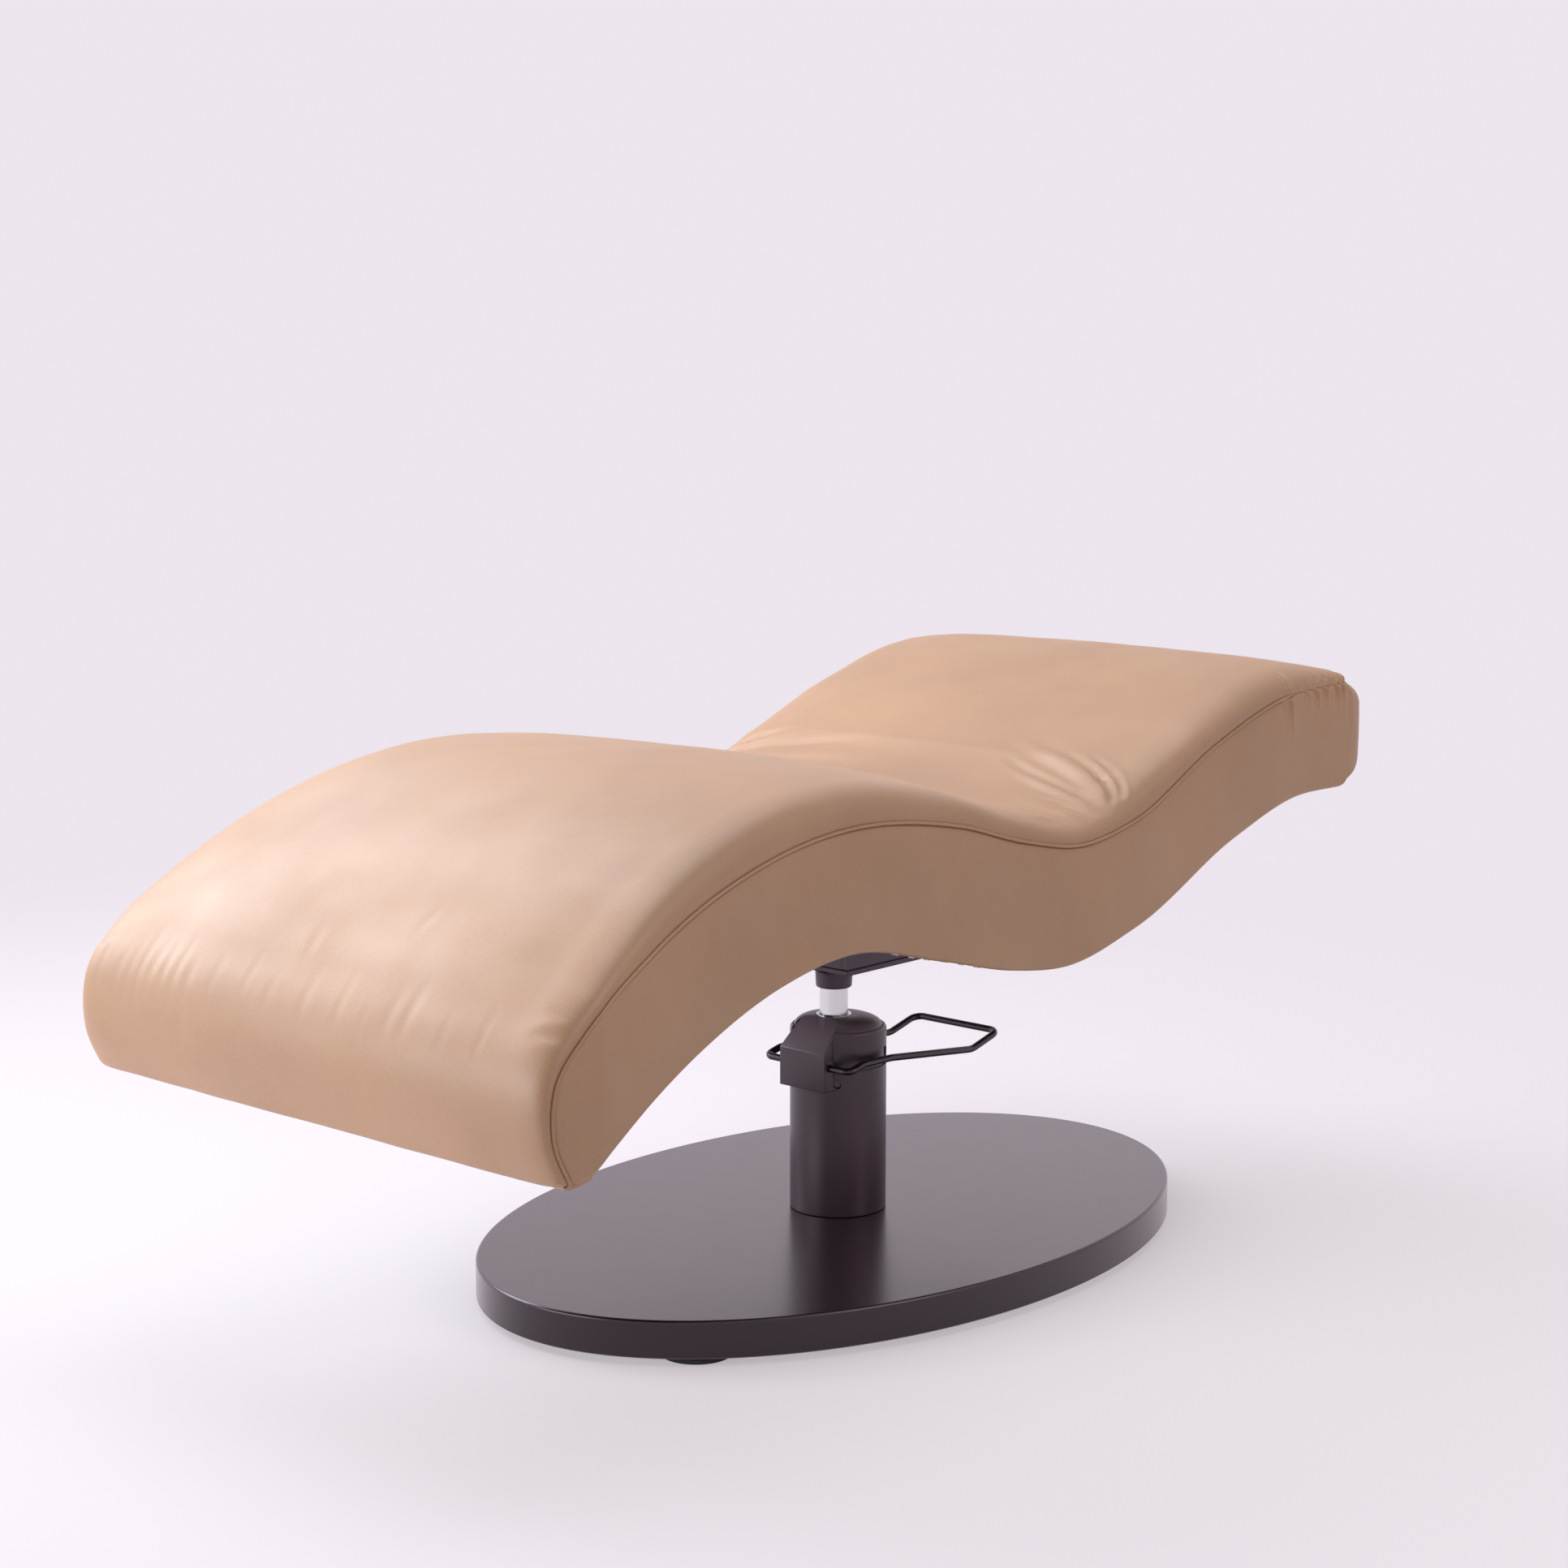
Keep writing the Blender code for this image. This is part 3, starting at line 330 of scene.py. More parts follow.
class Graph:
    """Node graph of a material or of the world."""

    def __init__(self, owner):
        owner.use_nodes = True
        self.owner, self.tree = owner, owner.node_tree

    def give(self, socket, value):
        if isinstance(value, bpy.types.NodeSocket):
            self.tree.links.new(value, socket)
        else:
            socket.default_value = value

    def feed(self, node, *values, **named):
        """Gives values to a node's first inputs, and to the inputs that are named."""
        for key, value in [*enumerate(values), *named.items()]:
            self.give(node.inputs[key.replace("_", " ") if isinstance(key, str) else key], value)

    def add(self, kind, *values, operation=None, **named):
        node = self.tree.nodes.new("ShaderNode" + kind)
        if operation:
            node.operation = operation
        self.feed(node, *values, **named)
        return node

    def calc(self, operation, a, b):
        return self.add("Math", a, b, operation=operation).outputs[0]

    def noise(self, scale, detail=3.0, roughness=0.5):
        return self.add("TexNoise", Vector=self.vector, Scale=scale, Detail=detail,
                        Roughness=roughness).outputs["Fac"]

    def ramp(self, value, tone, *stops):
        """Colour ramp over shares of a tone; each stop is (place, share)."""
        node = self.add("ValToRGB", Fac=value)
        while len(node.color_ramp.elements) < len(stops):
            node.color_ramp.elements.new(0.5)
        for element, (place, share) in zip(node.color_ramp.elements, stops):
            element.position = place
            element.color = (*np.multiply(tone, share), 1.0)
        return node.outputs["Color"]

    def remap(self, value, low, high, new_low, new_high):
        return self.add("MapRange", Value=value, From_Min=low, From_Max=high, To_Min=new_low,
                        To_Max=new_high).outputs["Result"]

    def surface(self, **named):
        """Sets the shader's inputs and returns the material."""
        self.feed(self.tree.nodes["Principled BSDF"], **named)
        return self.owner

    def bump(self, *heights):
        """Chains height fields, each (value, strength, distance), into the shader's normal."""
        chain = {}
        for value, strength, distance in heights:
            node = self.add("Bump", Height=value, Strength=strength, Distance=distance, **chain)
            chain = {"Normal": node.outputs["Normal"]}
        self.surface(**chain)

    def seen(self):
        """1 for rays that see a surface from the camera, in a reflection or through glass, else 0."""
        path = self.add("LightPath").outputs
        rays = self.calc("MAXIMUM", path["Is Camera Ray"], path["Is Glossy Ray"])
        return self.calc("MAXIMUM", rays, path["Is Transmission Ray"])


def new_look(name, stretch=(1.0, 1.0, 1.0)):
    """Graph of a new material, with its patterns on the object's own coordinates."""
    look = Graph(bpy.data.materials.new(name))
    place = look.add("TexCoord").outputs["Object"]
    look.vector = look.add("Mapping", Vector=place, Scale=stretch).outputs["Vector"]
    return look


def leather(name, tone):
    """Smooth upholstery leather: cloudy tone, fine pebble grain and a soft sheen."""
    look = new_look(name)
    base = look.ramp(look.noise(3.2, 4.0, 0.55), tone, (0.3, 0.86), (0.5, 0.98), (0.72, 1.08))
    grey = look.remap(look.noise(420.0, 2.0, 0.6), 0.25, 0.75, 0.94, 1.04)
    speckled = look.add("VectorMath", base, operation="SCALE", Scale=grey)
    pebble = look.add("TexVoronoi", Vector=look.vector, Scale=820.0, Randomness=1.0)
    pebble.feature = "SMOOTH_F1"
    look.bump((look.noise(38.0), 0.1, 0.0012), (pebble.outputs["Distance"], 0.16, 0.0004))
    return look.surface(Base_Color=speckled.outputs[0], Specular_IOR_Level=0.86, Sheen_Weight=0.06,
                        Sheen_Roughness=0.45, Roughness=look.remap(look.noise(9.0), 0.3, 0.7, 0.43, 0.54))


def painted(name, tone, rough, coat=0.25, peel=0.05, uneven=0.12, dust_and_painted_light=None, gleam=0.5, coat_ior=1.5):
    """Black enamel with a faint orange peel, uneven gloss and, if asked for, a pale colour on what faces up:
    painted light from above.
    """
    look = new_look(name)
    base = look.ramp(look.noise(6.0), tone, (0.35, 0.9), (0.65, 1.12))
    # Painted light: faces that point up are mixed towards a pale colour, as if lit from above.
    if dust_and_painted_light:
        normal = look.add("NewGeometry").outputs["Normal"]
        facing = look.add("SeparateXYZ", normal).outputs["Z"]
        painted_light_mix = look.add("Mix")
        painted_light_mix.data_type = "RGBA"
        for place, value in (0, look.remap(facing, 0.15, 0.75, 0.0, 1.0)), (6, base), (7, (*dust_and_painted_light, 1.0)):
            look.give(painted_light_mix.inputs[place], value)
        base = painted_light_mix.outputs[2]
    gloss = look.remap(look.noise(22.0, 4.0, 0.6), 0.3, 0.7, rough * (1 - uneven), rough * (1 + uneven))
    look.bump((look.noise(620.0, 2.0), peel, 0.0003))
    return look.surface(Base_Color=base, Roughness=gloss, Coat_Weight=coat, Coat_Roughness=0.22,
                        Coat_IOR=coat_ior, Specular_IOR_Level=gleam, Coat_Tint=(1.0, 0.9, 0.97, 1.0),
                        Specular_Tint=(1.0, 0.86, 0.95, 1.0))


def metal(name, tone, rough, stretch=(1.0, 1.0, 1.0), depth=0.04):
    """Bare metal with fine marks along one direction."""
    look = new_look(name, stretch)
    marks = look.noise(260.0, 3.0, 0.6)
    look.bump((marks, depth, 0.0002))
    return look.surface(Base_Color=look.ramp(marks, tone, (0.3, 0.95), (0.7, 1.0)), Metallic=1.0,
                        Roughness=look.remap(marks, 0.3, 0.7, rough * 0.85, rough * 1.2))


def rubber(name, tone):
    look = new_look(name)
    dust_and_painted_light = look.noise(40.0, 4.0, 0.6)
    look.bump((look.noise(300.0, 3.0, 0.6), 0.15, 0.0004))
    return look.surface(Base_Color=look.ramp(dust_and_painted_light, tone, (0.35, 1.0), (0.75, 1.6)), Roughness=0.78)


def cloth(name, tone):
    """Plain woven dust cover: two crossing sets of fine threads."""
    look = new_look(name)
    threads = []
    for direction in ("X", "Y"):
        wave = look.add("TexWave", Vector=look.vector, Scale=260.0, Distortion=0.4, Detail=1.0)
        wave.bands_direction = direction
        threads.append(wave.outputs["Fac"])
    weave = look.calc("MULTIPLY", *threads)
    look.bump((weave, 0.35, 0.0005))
    return look.surface(Base_Color=look.ramp(weave, tone, (0.1, 0.7), (0.9, 1.3)), Roughness=0.92)


def plywood(name, dark, pale):
    look = new_look(name, (8.0, 1.0, 40.0))
    grain = look.noise(9.0, 5.0, 0.6)
    look.bump((grain, 0.2, 0.0005))
    return look.surface(Base_Color=look.ramp(grain, 1.0, (0.3, dark), (0.7, pale)), Roughness=0.62)


# Looks by slot, and two for pieces of other steel
LOOKS = {
    "tan_leather": leather("tan_leather_look", (0.562, 0.32, 0.18)),
    "tan_piping": leather("tan_piping_look", (0.548, 0.312, 0.175)),
    "base_black": painted("base_black_look", (0.011, 0.005, 0.009), 0.33, coat=1.0, peel=0.012,
                          uneven=0.03, gleam=0.3, coat_ior=1.38),
    # The pump's pale colour on up-facing faces is painted light from above.
    "pump_black": painted("pump_black_look", (0.045, 0.028, 0.039), 0.38, coat=0.04, peel=0.015,
                          uneven=0.05, gleam=0.62, dust_and_painted_light=(0.35, 0.26, 0.315)),
    "lever_black": painted("lever_black_look", (0.024, 0.015, 0.021), 0.3),
    "mount_black": painted("mount_black_look", (0.092, 0.061, 0.083), 0.42, coat=0.15),
    "bright_steel": metal("bright_steel_look", (0.68, 0.665, 0.68), 0.16, (1.0, 1.0, 6.0), 0.02),
    "dark_steel": metal("dark_steel_look", (0.34, 0.34, 0.35), 0.42),
    "screw": metal("dark_screw_look", (0.1, 0.1, 0.105), 0.38),
    "staple": metal("staple_look", (0.62, 0.62, 0.64), 0.3),
    "glide_rubber": rubber("glide_rubber_look", (0.02, 0.019, 0.02)),
    "dust_cover": cloth("dust_cover_look", (0.05, 0.046, 0.045)),
    "plywood": plywood("plywood_look", (0.42, 0.27, 0.14), (0.66, 0.48, 0.29)),
}


def dress_cad_nodes():
    """Every CAD node takes its slot's look; flat pieces get a fine bevel."""
    for entry in frame["record"]["subparts"]:
        node = frame["nodes"][entry["node"]]
        look = LOOKS[entry["material_slot"]]
        for place in node.material_slots:
            place.material = look
        if entry["node"].startswith(("mount_", "socket_nut")):
            modify(node, "weld", "WELD", merge_threshold=0.00005)
            modify(node, "edge", "BEVEL", width=0.0008, segments=2, limit_method="ANGLE",
                   angle_limit=math.radians(40))


# ---- upholstery ----

# Folds as (height, breadth, path, x, path, x, ...); the path starts at the bottom of the foot face
VALLEY_FOLDS = (
    (0.0046, 0.01, 1.268, 0.144, 1.221, 0.256, 1.177, 0.326),
    (-0.0036, 0.005, 1.259, 0.219, 1.221, 0.294, 1.193, 0.332),
    (-0.0042, 0.0042, 1.263, 0.256, 1.232, 0.31, 1.2, 0.337),
    (-0.0027, 0.0042, 1.237, 0.264, 1.204, 0.312, 1.178, 0.334),
    (-0.003, 0.006, 1.224, 0.144, 1.188, 0.225, 1.164, 0.32),
    (0.003, 0.008, 1.193, 0.184, 1.168, 0.256, 1.153, 0.324),
    (-0.0034, 0.0042, 1.146, 0.224, 1.134, 0.294, 1.138, 0.334),
    (0.0023, 0.006, 1.118, 0.234, 1.11, 0.294, 1.114, 0.328),
    (-0.0029, 0.004, 1.078, 0.244, 1.078, 0.299, 1.086, 0.332),
    (-0.0032, 0.0036, 1.034, 0.284, 1.05, 0.312, 1.064, 0.331),
    (-0.0019, 0.0036, 1.018, 0.304, 1.034, 0.322, 1.044, 0.334),
    (0.0023, 0.014, 1.19, -0.06, 1.172, -0.2, 1.15, -0.3),
    (-0.0019, 0.009, 1.226, -0.1, 1.2, -0.22, 1.168, -0.318),
    (-0.0027, 0.0045, 1.25, -0.24, 1.222, -0.3, 1.196, -0.338),
    (0.0034, 0.008, 1.232, -0.23, 1.2, -0.296, 1.178, -0.334),
    (-0.0029, 0.0042, 1.156, -0.25, 1.146, -0.306, 1.148, -0.34),
    (-0.0027, 0.004, 1.104, -0.262, 1.1, -0.312, 1.106, -0.339),
    (-0.0025, 0.0036, 1.052, -0.298, 1.066, -0.322, 1.08, -0.338),
)
FOOT_FOLDS = (
    (-0.002, 0.0045, 0.14, 0.352, 0.143, 0.372, 0.146, 0.388),
    (0.0012, 0.005, 0.154, 0.35, 0.158, 0.37, 0.162, 0.386),
    (-0.0016, 0.0045, 0.146, -0.35, 0.143, -0.37, 0.14, -0.388),
    (-0.0007, 0.006, 0.196, -0.028, 0.166, -0.02),
    (-0.0006, 0.006, 0.25, 0.12, 0.215, 0.112),
)
FOOT_STREAK_X = (-0.356, -0.339, -0.322, -0.3, -0.281, -0.262, -0.238, -0.216, -0.192, -0.15, -0.094,
                 -0.052, 0.008, 0.066, 0.108, 0.146, 0.174, 0.232, 0.286)
# Gathers as (place, reach below the seam, height)
HEAD_PLEATS = ((0.505, 0.05, 0.002), (0.513, 0.06, 0.0026), (0.536, 0.02, 0.0012), (0.558, 0.03, 0.0022),
               (0.579, 0.036, 0.0027), (0.603, 0.032, 0.003), (0.618, 0.022, 0.0018), (0.631, 0.036, 0.0032),
               (0.645, 0.034, 0.003))
PLEAT_WIDTH, PLEAT_GAIN, PLEAT_TOP_GAIN, PLEAT_TOP_REACH = 0.0043, 2.1, 0.8, 0.075


def foot_streaks():
    """Short creases that run down over the rounding above the foot face."""
    return tuple((-0.0008 if x < -0.15 else -0.0005, 0.0052 + 0.0012 * math.sin(1.7 * k),
                  0.15 + 0.014 * math.sin(2.1 * k), x + 0.004, 0.086 + 0.016 * math.sin(1.3 * k + 0.5), x)
                 for k, x in enumerate(FOOT_STREAK_X))


def head_pleats(y, depth_below):
    """Gathers of the leather round the head end, by place and distance from the seam."""
    total = np.zeros_like(y)
    for k, (place, reach, height) in enumerate(HEAD_PLEATS):
        lean = place + 0.1 * depth_below * math.sin(1.9 * k)
        d = (y - lean) / PLEAT_WIDTH
        fade = np.clip(1 - depth_below / reach, 0, 1) ** 1.1
        total += PLEAT_GAIN * height * fade * (np.exp(-((d - 1.15) ** 2)) - np.exp(-((d + 0.2) ** 2)))
    return total


def filled(rings, held, path):
    """Lets a coarse copy of the cushion swell as cloth and returns the moves of the full rings' points."""
    rows = [0]
    for i in range(1, len(path)):
        if path[i] - path[rows[-1]] > FILL_PITCH:
            rows.append(i)
    rows[-1] = len(path) - 1
    last = rings.shape[1] - 1
    columns = [*range(0, last - 1, 2), last - 2, last - 1, last]
    coarse = rings[np.ix_(rows, columns)]
    count = len(columns)
    mesh = mesh_of("fill_copy", coarse, skin_faces(len(rows), count))
    face_outwards(mesh)
    copy = stand("fill_copy", mesh)
    group = copy.vertex_groups.new(name="sewn")
    group.add(np.flatnonzero(held[np.ix_(rows, columns)].ravel()).tolist(), 1.0, "REPLACE")
    run = copy.modifiers.new("fill", "CLOTH")
    for key, value in (("quality", 4), ("mass", 0.3), ("tension_stiffness", 30.0),
                       ("compression_stiffness", 30.0), ("use_pressure", True),
                       ("uniform_pressure_force", FILL_PRESSURE), ("vertex_group_mass", "sewn")):
        setattr(run.settings, key, value)
    run.settings.effector_weights.gravity = 0.0
    run.collision_settings.use_collision = False
    run.point_cache.frame_start, run.point_cache.frame_end = 1, FILL_FRAMES
    for number in range(1, FILL_FRAMES + 1):
        bpy.context.scene.frame_set(number)
    swollen = copy.evaluated_get(bpy.context.evaluated_depsgraph_get()).data
    after = np.empty(len(swollen.vertices) * 3)
    swollen.vertices.foreach_get("co", after)
    move = after.reshape(coarse.shape) - SHIFT - coarse
    bpy.data.objects.remove(copy, do_unlink=True)
    bpy.context.scene.frame_set(1)
    size = np.linalg.norm(move, axis=-1)
    cap = np.where((move * outward(coarse)).sum(-1) < 0, FILL_SINK, FILL_CAP)
    move *= (cap * np.tanh(size / cap) / np.maximum(size, 1e-9))[..., None]
    for _ in range(FILL_BLUR):
        move[1:-1] = 0.25 * move[:-2] + 0.5 * move[1:-1] + 0.25 * move[2:]
        move[:, 1:-3] = 0.25 * move[:, :-4] + 0.5 * move[:, 1:-3] + 0.25 * move[:, 2:-2]
    full = np.zeros_like(rings)
    for k in range(3):
        by_row = np.stack([np.interp(path, path[rows], move[:, j, k]) for j in range(count)], 1)
        full[..., k] = np.stack([np.interp(np.arange(last + 1), columns, line) for line in by_row])
    return full


def build_cushion(wave):
    """Crowned leather top with its rounded edge, filled by the cloth run, then folded and gathered."""
    edge, middle, width = wave.crown()
    turn = np.linspace(0, np.pi / 2, 24)
    sewn = seam_fade(wave.y)[:, None]
    edge = edge + 0.88 * DECK * (1 - sewn[:, 0]) * np.clip(edge / 0.01, 0, 1)
    flat = (width - EDGE_RUN)[:, None]
    edge_x = flat + EDGE_RUN * np.abs(np.cos(turn)) ** EDGE_POWER
    edge_rise = edge[:, None] * np.sin(turn) ** EDGE_POWER
    flat_x = flat * np.linspace(1, -1, 112)[1:-1]
    flat_rise = np.repeat(edge[:, None], flat_x.shape[1], 1)
    x = np.hstack([edge_x, flat_x, -edge_x[:, ::-1]])
    rise = np.hstack([edge_rise, flat_rise, edge_rise[:, ::-1]])
    rise = rise + middle[:, None] * (1 - (x / width[:, None]) ** 2)
    x = x - np.sign(x) * (0.0006 + 0.001 * sewn) * np.exp(-(rise / 0.0035) ** 2)
    tuck = 0.0022 * np.exp(-(rise / 0.008) ** 2)
    base = DECK * (0.12 + 0.88 * sewn)
    line = wave.seam[:, None, :] + wave.out[:, None, :] * (base - tuck * sewn + rise)[..., None]
    grid = points_at(x, line)
    under = points_at(x[:, [-1, 0]] + (0.004, -0.004), (wave.seam + wave.out * base)[:, None])
    held = np.ones((len(grid), grid.shape[1] + 2), bool)
    held[3:-3, 3:-5] = False
    grid = grid + filled(np.concatenate([grid, under], 1), held, wave.s)[:, :-2]
    path = np.repeat(wave.s[:, None], grid.shape[1], 1)
    keep = np.clip(rise / 0.012, 0, 1)
    swell = fold_height(path, x, VALLEY_FOLDS + FOOT_FOLDS + foot_streaks())
    swell += 0.0011 * soft_noise(grid, 5.5, 1) + 0.0005 * soft_noise(grid, 17.0, 2)
    beside = np.clip(1 - (width[:, None] - np.abs(x)) / PLEAT_TOP_REACH, 0, 1) ** 0.8
    gather = head_pleats(grid[..., 1], 1.6 * rise) * PLEAT_TOP_GAIN * beside
    grid = grid + outward(grid) * ((swell + gather) * keep)[..., None]
    item = loft("leather_top", np.concatenate([grid, under], 1), "bed", "tan_leather", 60)
    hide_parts("cushion")


def build_side(wave, side, tag):
    """Side panel from the welt to the belly, turned under and stapled; gathered at the head end."""
    sewn = seam_fade(wave.y)
    top = wave.seam - wave.out * (0.0018 * sewn - 0.0008 * (1 - sewn))[:, None]
    bottom = wave.belly - wave.up * 0.0006
    height = np.linalg.norm(top - bottom, axis=1)
    share = np.linspace(0, 1, 40)[None, :] * (1 - np.minimum(SIDE_TURN / height, 0.3))[:, None]
    line = top[:, None, :] + (bottom - top)[:, None, :] * share[..., None]
    below = share * height[:, None]
    x = half_width(line[..., 0])
    fullness = np.clip(height / 0.1, 0, 1)[:, None]
    puff = 0.003 * np.sin(np.pi * np.clip(share, 0, 1)) ** 0.8 * fullness
    tuck = (0.0012 * sewn[:, None] + 0.0009) * np.exp(-(below / 0.0032) ** 2)
    drift = 0.0011 * soft_noise(points_at(x, line) * (1, 1, 0.6), 6.5, 3 if side > 0 else 4)
    round_in = end_crease(share) * np.exp(-((wave.y[-1] - line[..., 0]) / 0.0045) ** 2)
    settle = np.clip(below / 0.004, 0, 1)
    x = x + puff - tuck + (drift + head_pleats(line[..., 0], below)) * settle - round_in
    rows = [points_at(x, line)]
    for k in range(1, 6):
        angle = 0.5 * math.pi * k / 5
        point = bottom + (top - bottom) / height[:, None] * (SIDE_TURN * (1 - math.sin(angle)))
        inward = x[:, -1] - SIDE_TURN * (1 - math.cos(angle))
        rows.append(points_at(inward, point)[:, None])
    wander = 0.0009 * np.sin(wave.s * 61.0) + 0.0007 * np.sin(wave.s * 137.0 + 1.0)
    for k in range(1, 6):
        inward = x[:, -1] - SIDE_TURN - (HEM + wander) * k / 5
        rows.append(points_at(inward, bottom)[:, None])
    grid = np.concatenate(rows, 1)
    grid[..., 0] *= side
    rows_count, columns = grid.shape[:2]
    mesh = mesh_of("leather_side_" + tag, grid, grid_faces(rows_count, columns))
    item = finish_mesh("leather_side_" + tag, mesh, "bed", "tan_leather")
    outwards = item.data.polygons[columns * (rows_count // 2) + 10].normal.x * side
    modify(item, "thickness", "SOLIDIFY", thickness=LEATHER_SHEET, offset=-1.0 if outwards > 0 else 1.0)
    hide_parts("side_cover_" + tag)


def build_welt(wave, side, tag):
    """Leather-covered cord in the seam; it fades into the gathers at the head end."""
    rings = []
    angles = 2 * np.pi * np.arange(12) / 12
    for i in np.flatnonzero(wave.y <= SEAM_FADE_TO):
        fade = seam_fade(wave.y[i])
        radius = WELT_RADIUS * (0.45 + 0.55 * fade)
        x = wave.width[i] - 0.0009 - 0.0028 * (1 - fade)
        line = wave.seam[i] + wave.out[i] * (radius * np.sin(angles))[:, None]
        rings.append(points_at(side * (x + radius * np.cos(angles)), line))
    start = []
    for k in range(5, 0, -1):
        angle = 0.5 * math.pi * k / 5
        start.append(rings[0] - (side * 0.01 * (1 - math.cos(angle)), 0.0, 0.004 * math.sin(angle)))
    item = loft("welt_" + tag, start + rings, "bed", "tan_piping")
    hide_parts("piping_" + tag)


def rounded_ring(half, low, high, r, q):
    """Rounded rectangle in the XZ plane as an even run of points; r and q are its top and low radius."""
    corners = (half - r, high - r, r), (r - half, high - r, r), (q - half, low + q, q), (half - q, low + q, q)
    arcs = [arc(*corner, 90 * n, 90 * n + 90, 14) for n, corner in enumerate(corners)]
    points = []
    for n, bent in enumerate(arcs):
        start, stop = np.array(bent[-1]), np.array(arcs[(n + 1) % 4][0])
        count = 26 if n % 2 else 60
        points += bent[:-1] + [tuple(start + (stop - start) * k / count) for k in range(count)]
    return np.array(points)


def build_end_pad(wave):
    """Pillow over the head end: it runs on from the side panels and is creased only near its top."""
    back = wave.y[-1]
    half = half_width(back)
    low, high = wave.belly[-1, 1] - 0.0004, wave.seam[-1, 1] + 0.0004 + HEAD_LIP
    rings = []
    for k in range(-1, END_LAYERS + FACE_LAYERS):
        turn = 0.5 * math.pi * min(max(k, 0), END_LAYERS) / END_LAYERS
        face = max(k - END_LAYERS, 0) / FACE_LAYERS
        drawn = 1 - math.cos(turn)
        depth = END_DEPTH * math.sin(turn) + 0.0016 * math.sin(0.5 * math.pi * face)
        inset = END_INSET * drawn + FACE_INSET * face
        bottom = low + END_LOW * drawn + FACE_CLOSE * face
        top = high - END_TOP * drawn - FACE_CLOSE * face
        loose = float(smooth(math.sin(turn) / 0.22))
        room = 0.49 * (top - bottom)
        ring = rounded_ring(half - inset, bottom, top, min(0.006 + 0.016 * loose, room),
                            min(0.004 + 0.004 * loose, room))
        share = np.clip((high - ring[:, 1]) / (high - low), 0, 1)
        flank = np.clip((np.abs(ring[:, 0]) - (half - inset) + 0.012) / 0.012, 0, 1)
        full = 0.003 * np.sin(np.pi * share) ** 0.8 * (1 - drawn)
        crease = end_crease(share) * math.exp(-(depth / 0.0045) ** 2) + (0.0009 if k < 0 else 0.0003)
        ring[:, 0] += np.sign(ring[:, 0]) * (full - crease) * flank
        around = np.arange(len(ring)) / len(ring) * 2 * np.pi
        pucker = 0.001 * np.sin(61 * around) + 0.0007 * np.sin(97 * around + 1.0)
        pucker *= ring[:, 1] > 0.5 * (low + high)
        fade = math.exp(-((depth - 0.012) / 0.012) ** 2)
        y = back + (depth if k >= 0 else -0.003) - pucker * fade
        rings.append(np.stack([ring[:, 0], y, ring[:, 1]], 1))
    item = loft("leather_end", rings, "bed", "tan_leather", 70)
    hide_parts("head_pad")


def build_deck(wave):
    """Bent plywood under the cushion; both its ends sink with the leather."""
    edge, _, width = wave.crown()
    stations = slice(1, -2)
    top = np.minimum(DECK_TOP, 0.55 * edge - 0.003)[stations]
    half = (width - DECK_INSET)[stations]
    line, out = wave.seam[stations], wave.out[stations]
    ring = []
    for side, drop in ((-1, 0.0), (1, 0.0), (1, DECK_SHEET), (-1, DECK_SHEET)):
        ring.append(points_at(side * half, line + out * (top - drop)[:, None]))
    item = loft("bent_deck", np.stack(ring, 1), "bed", "plywood", 40)
    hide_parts("seat_deck")


def build_underside(wave):
    """Woven dust cover between the turned-under edges, and the leather hem at the foot."""
    across = np.linspace(-1, 1, 41)
    x = (half_width(wave.belly[:, 0]) - 0.008)[:, None] * across
    sag = 0.0012 * np.cos(0.5 * np.pi * across)[None] * np.abs(np.sin(wave.s * 14.0))[:, None]
    low, high = (points_at(x, (wave.belly + wave.up * rise)[:, None]) for rise in (0.0006, 0.005))
    low[..., 2] -= 0.4 * sag
    item = loft("dust_cloth", np.concatenate([low, high[:, ::-1]], 1), "bed", "dust_cover", 50)
    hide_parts("bottom_panel")
    hem = []
    first, last = wave.seam[0], wave.belly[0]
    span = np.linalg.norm(last - first)
    ahead = (last - first) / span
    down = np.array([ahead[1], -ahead[0]])
    for share in np.linspace(-1, 1, 61):
        x = share * (wave.width[0] - 0.006)
        ripple = 0.0004 * math.sin(share * 47)
        ring = []
        for run, drop in ((-0.0045, 0.001), (-0.0042, 0.0046), (-0.001, 0.007), (span * 0.5, 0.0076),
                          (span, 0.0062), (span + 0.02, 0.0024), (span + 0.021, 0.0004), (span, 0.0003),
                          (0.0, 0.0003)):
            y, z = first + ahead * run + down * (drop + ripple)
            if run > span:
                y, z = last[0] + (run - span), wave.belly[4, 1] - drop
            ring.append((x, y, z))
        hem.append(ring)
    item = loft("foot_hem", hem, "bed", "tan_leather", 60)


def build_staples(wave):
    """A row of wire staples along each turned-under edge."""
    points, faces = [], []
    box = ((0, 1, 3, 2), (4, 6, 7, 5), (0, 4, 5, 1), (2, 3, 7, 6), (0, 2, 6, 4), (1, 5, 7, 3))
    for side in (-1, 1):
        for k, s in enumerate(np.arange(0.1, wave.length - 0.05, STAPLE_PITCH)):
            y, z = line_at(wave.belly, wave.s, s)
            run, slope = line_at(wave.belly, wave.s, s + 0.01) - line_at(wave.belly, wave.s, s - 0.01)
            along = np.array([0.0, run, slope]) / math.hypot(run, slope)
            up = np.array([0.0, -along[2], along[1]])
            centre = np.array([side * (half_width(y) - HEM), y, z]) - up * LEATHER_SHEET
            start = len(points)
            lean = 0.15 * math.sin(3.7 * k)
            points += [centre + along * a + (b + lean * a, 0.0, 0.0) + up * c
                       for a in (-0.0055, 0.0055) for b in (-0.0005, 0.0005) for c in (-0.0006, 0.0008)]
            faces += [tuple(start + i for i in face) for face in box]
    mesh = mesh_of("hem_staples", points, faces)
    finish_mesh("hem_staples", mesh, "bed", "dark_steel", 30, "staple")


# ---- base, pump and lever ----

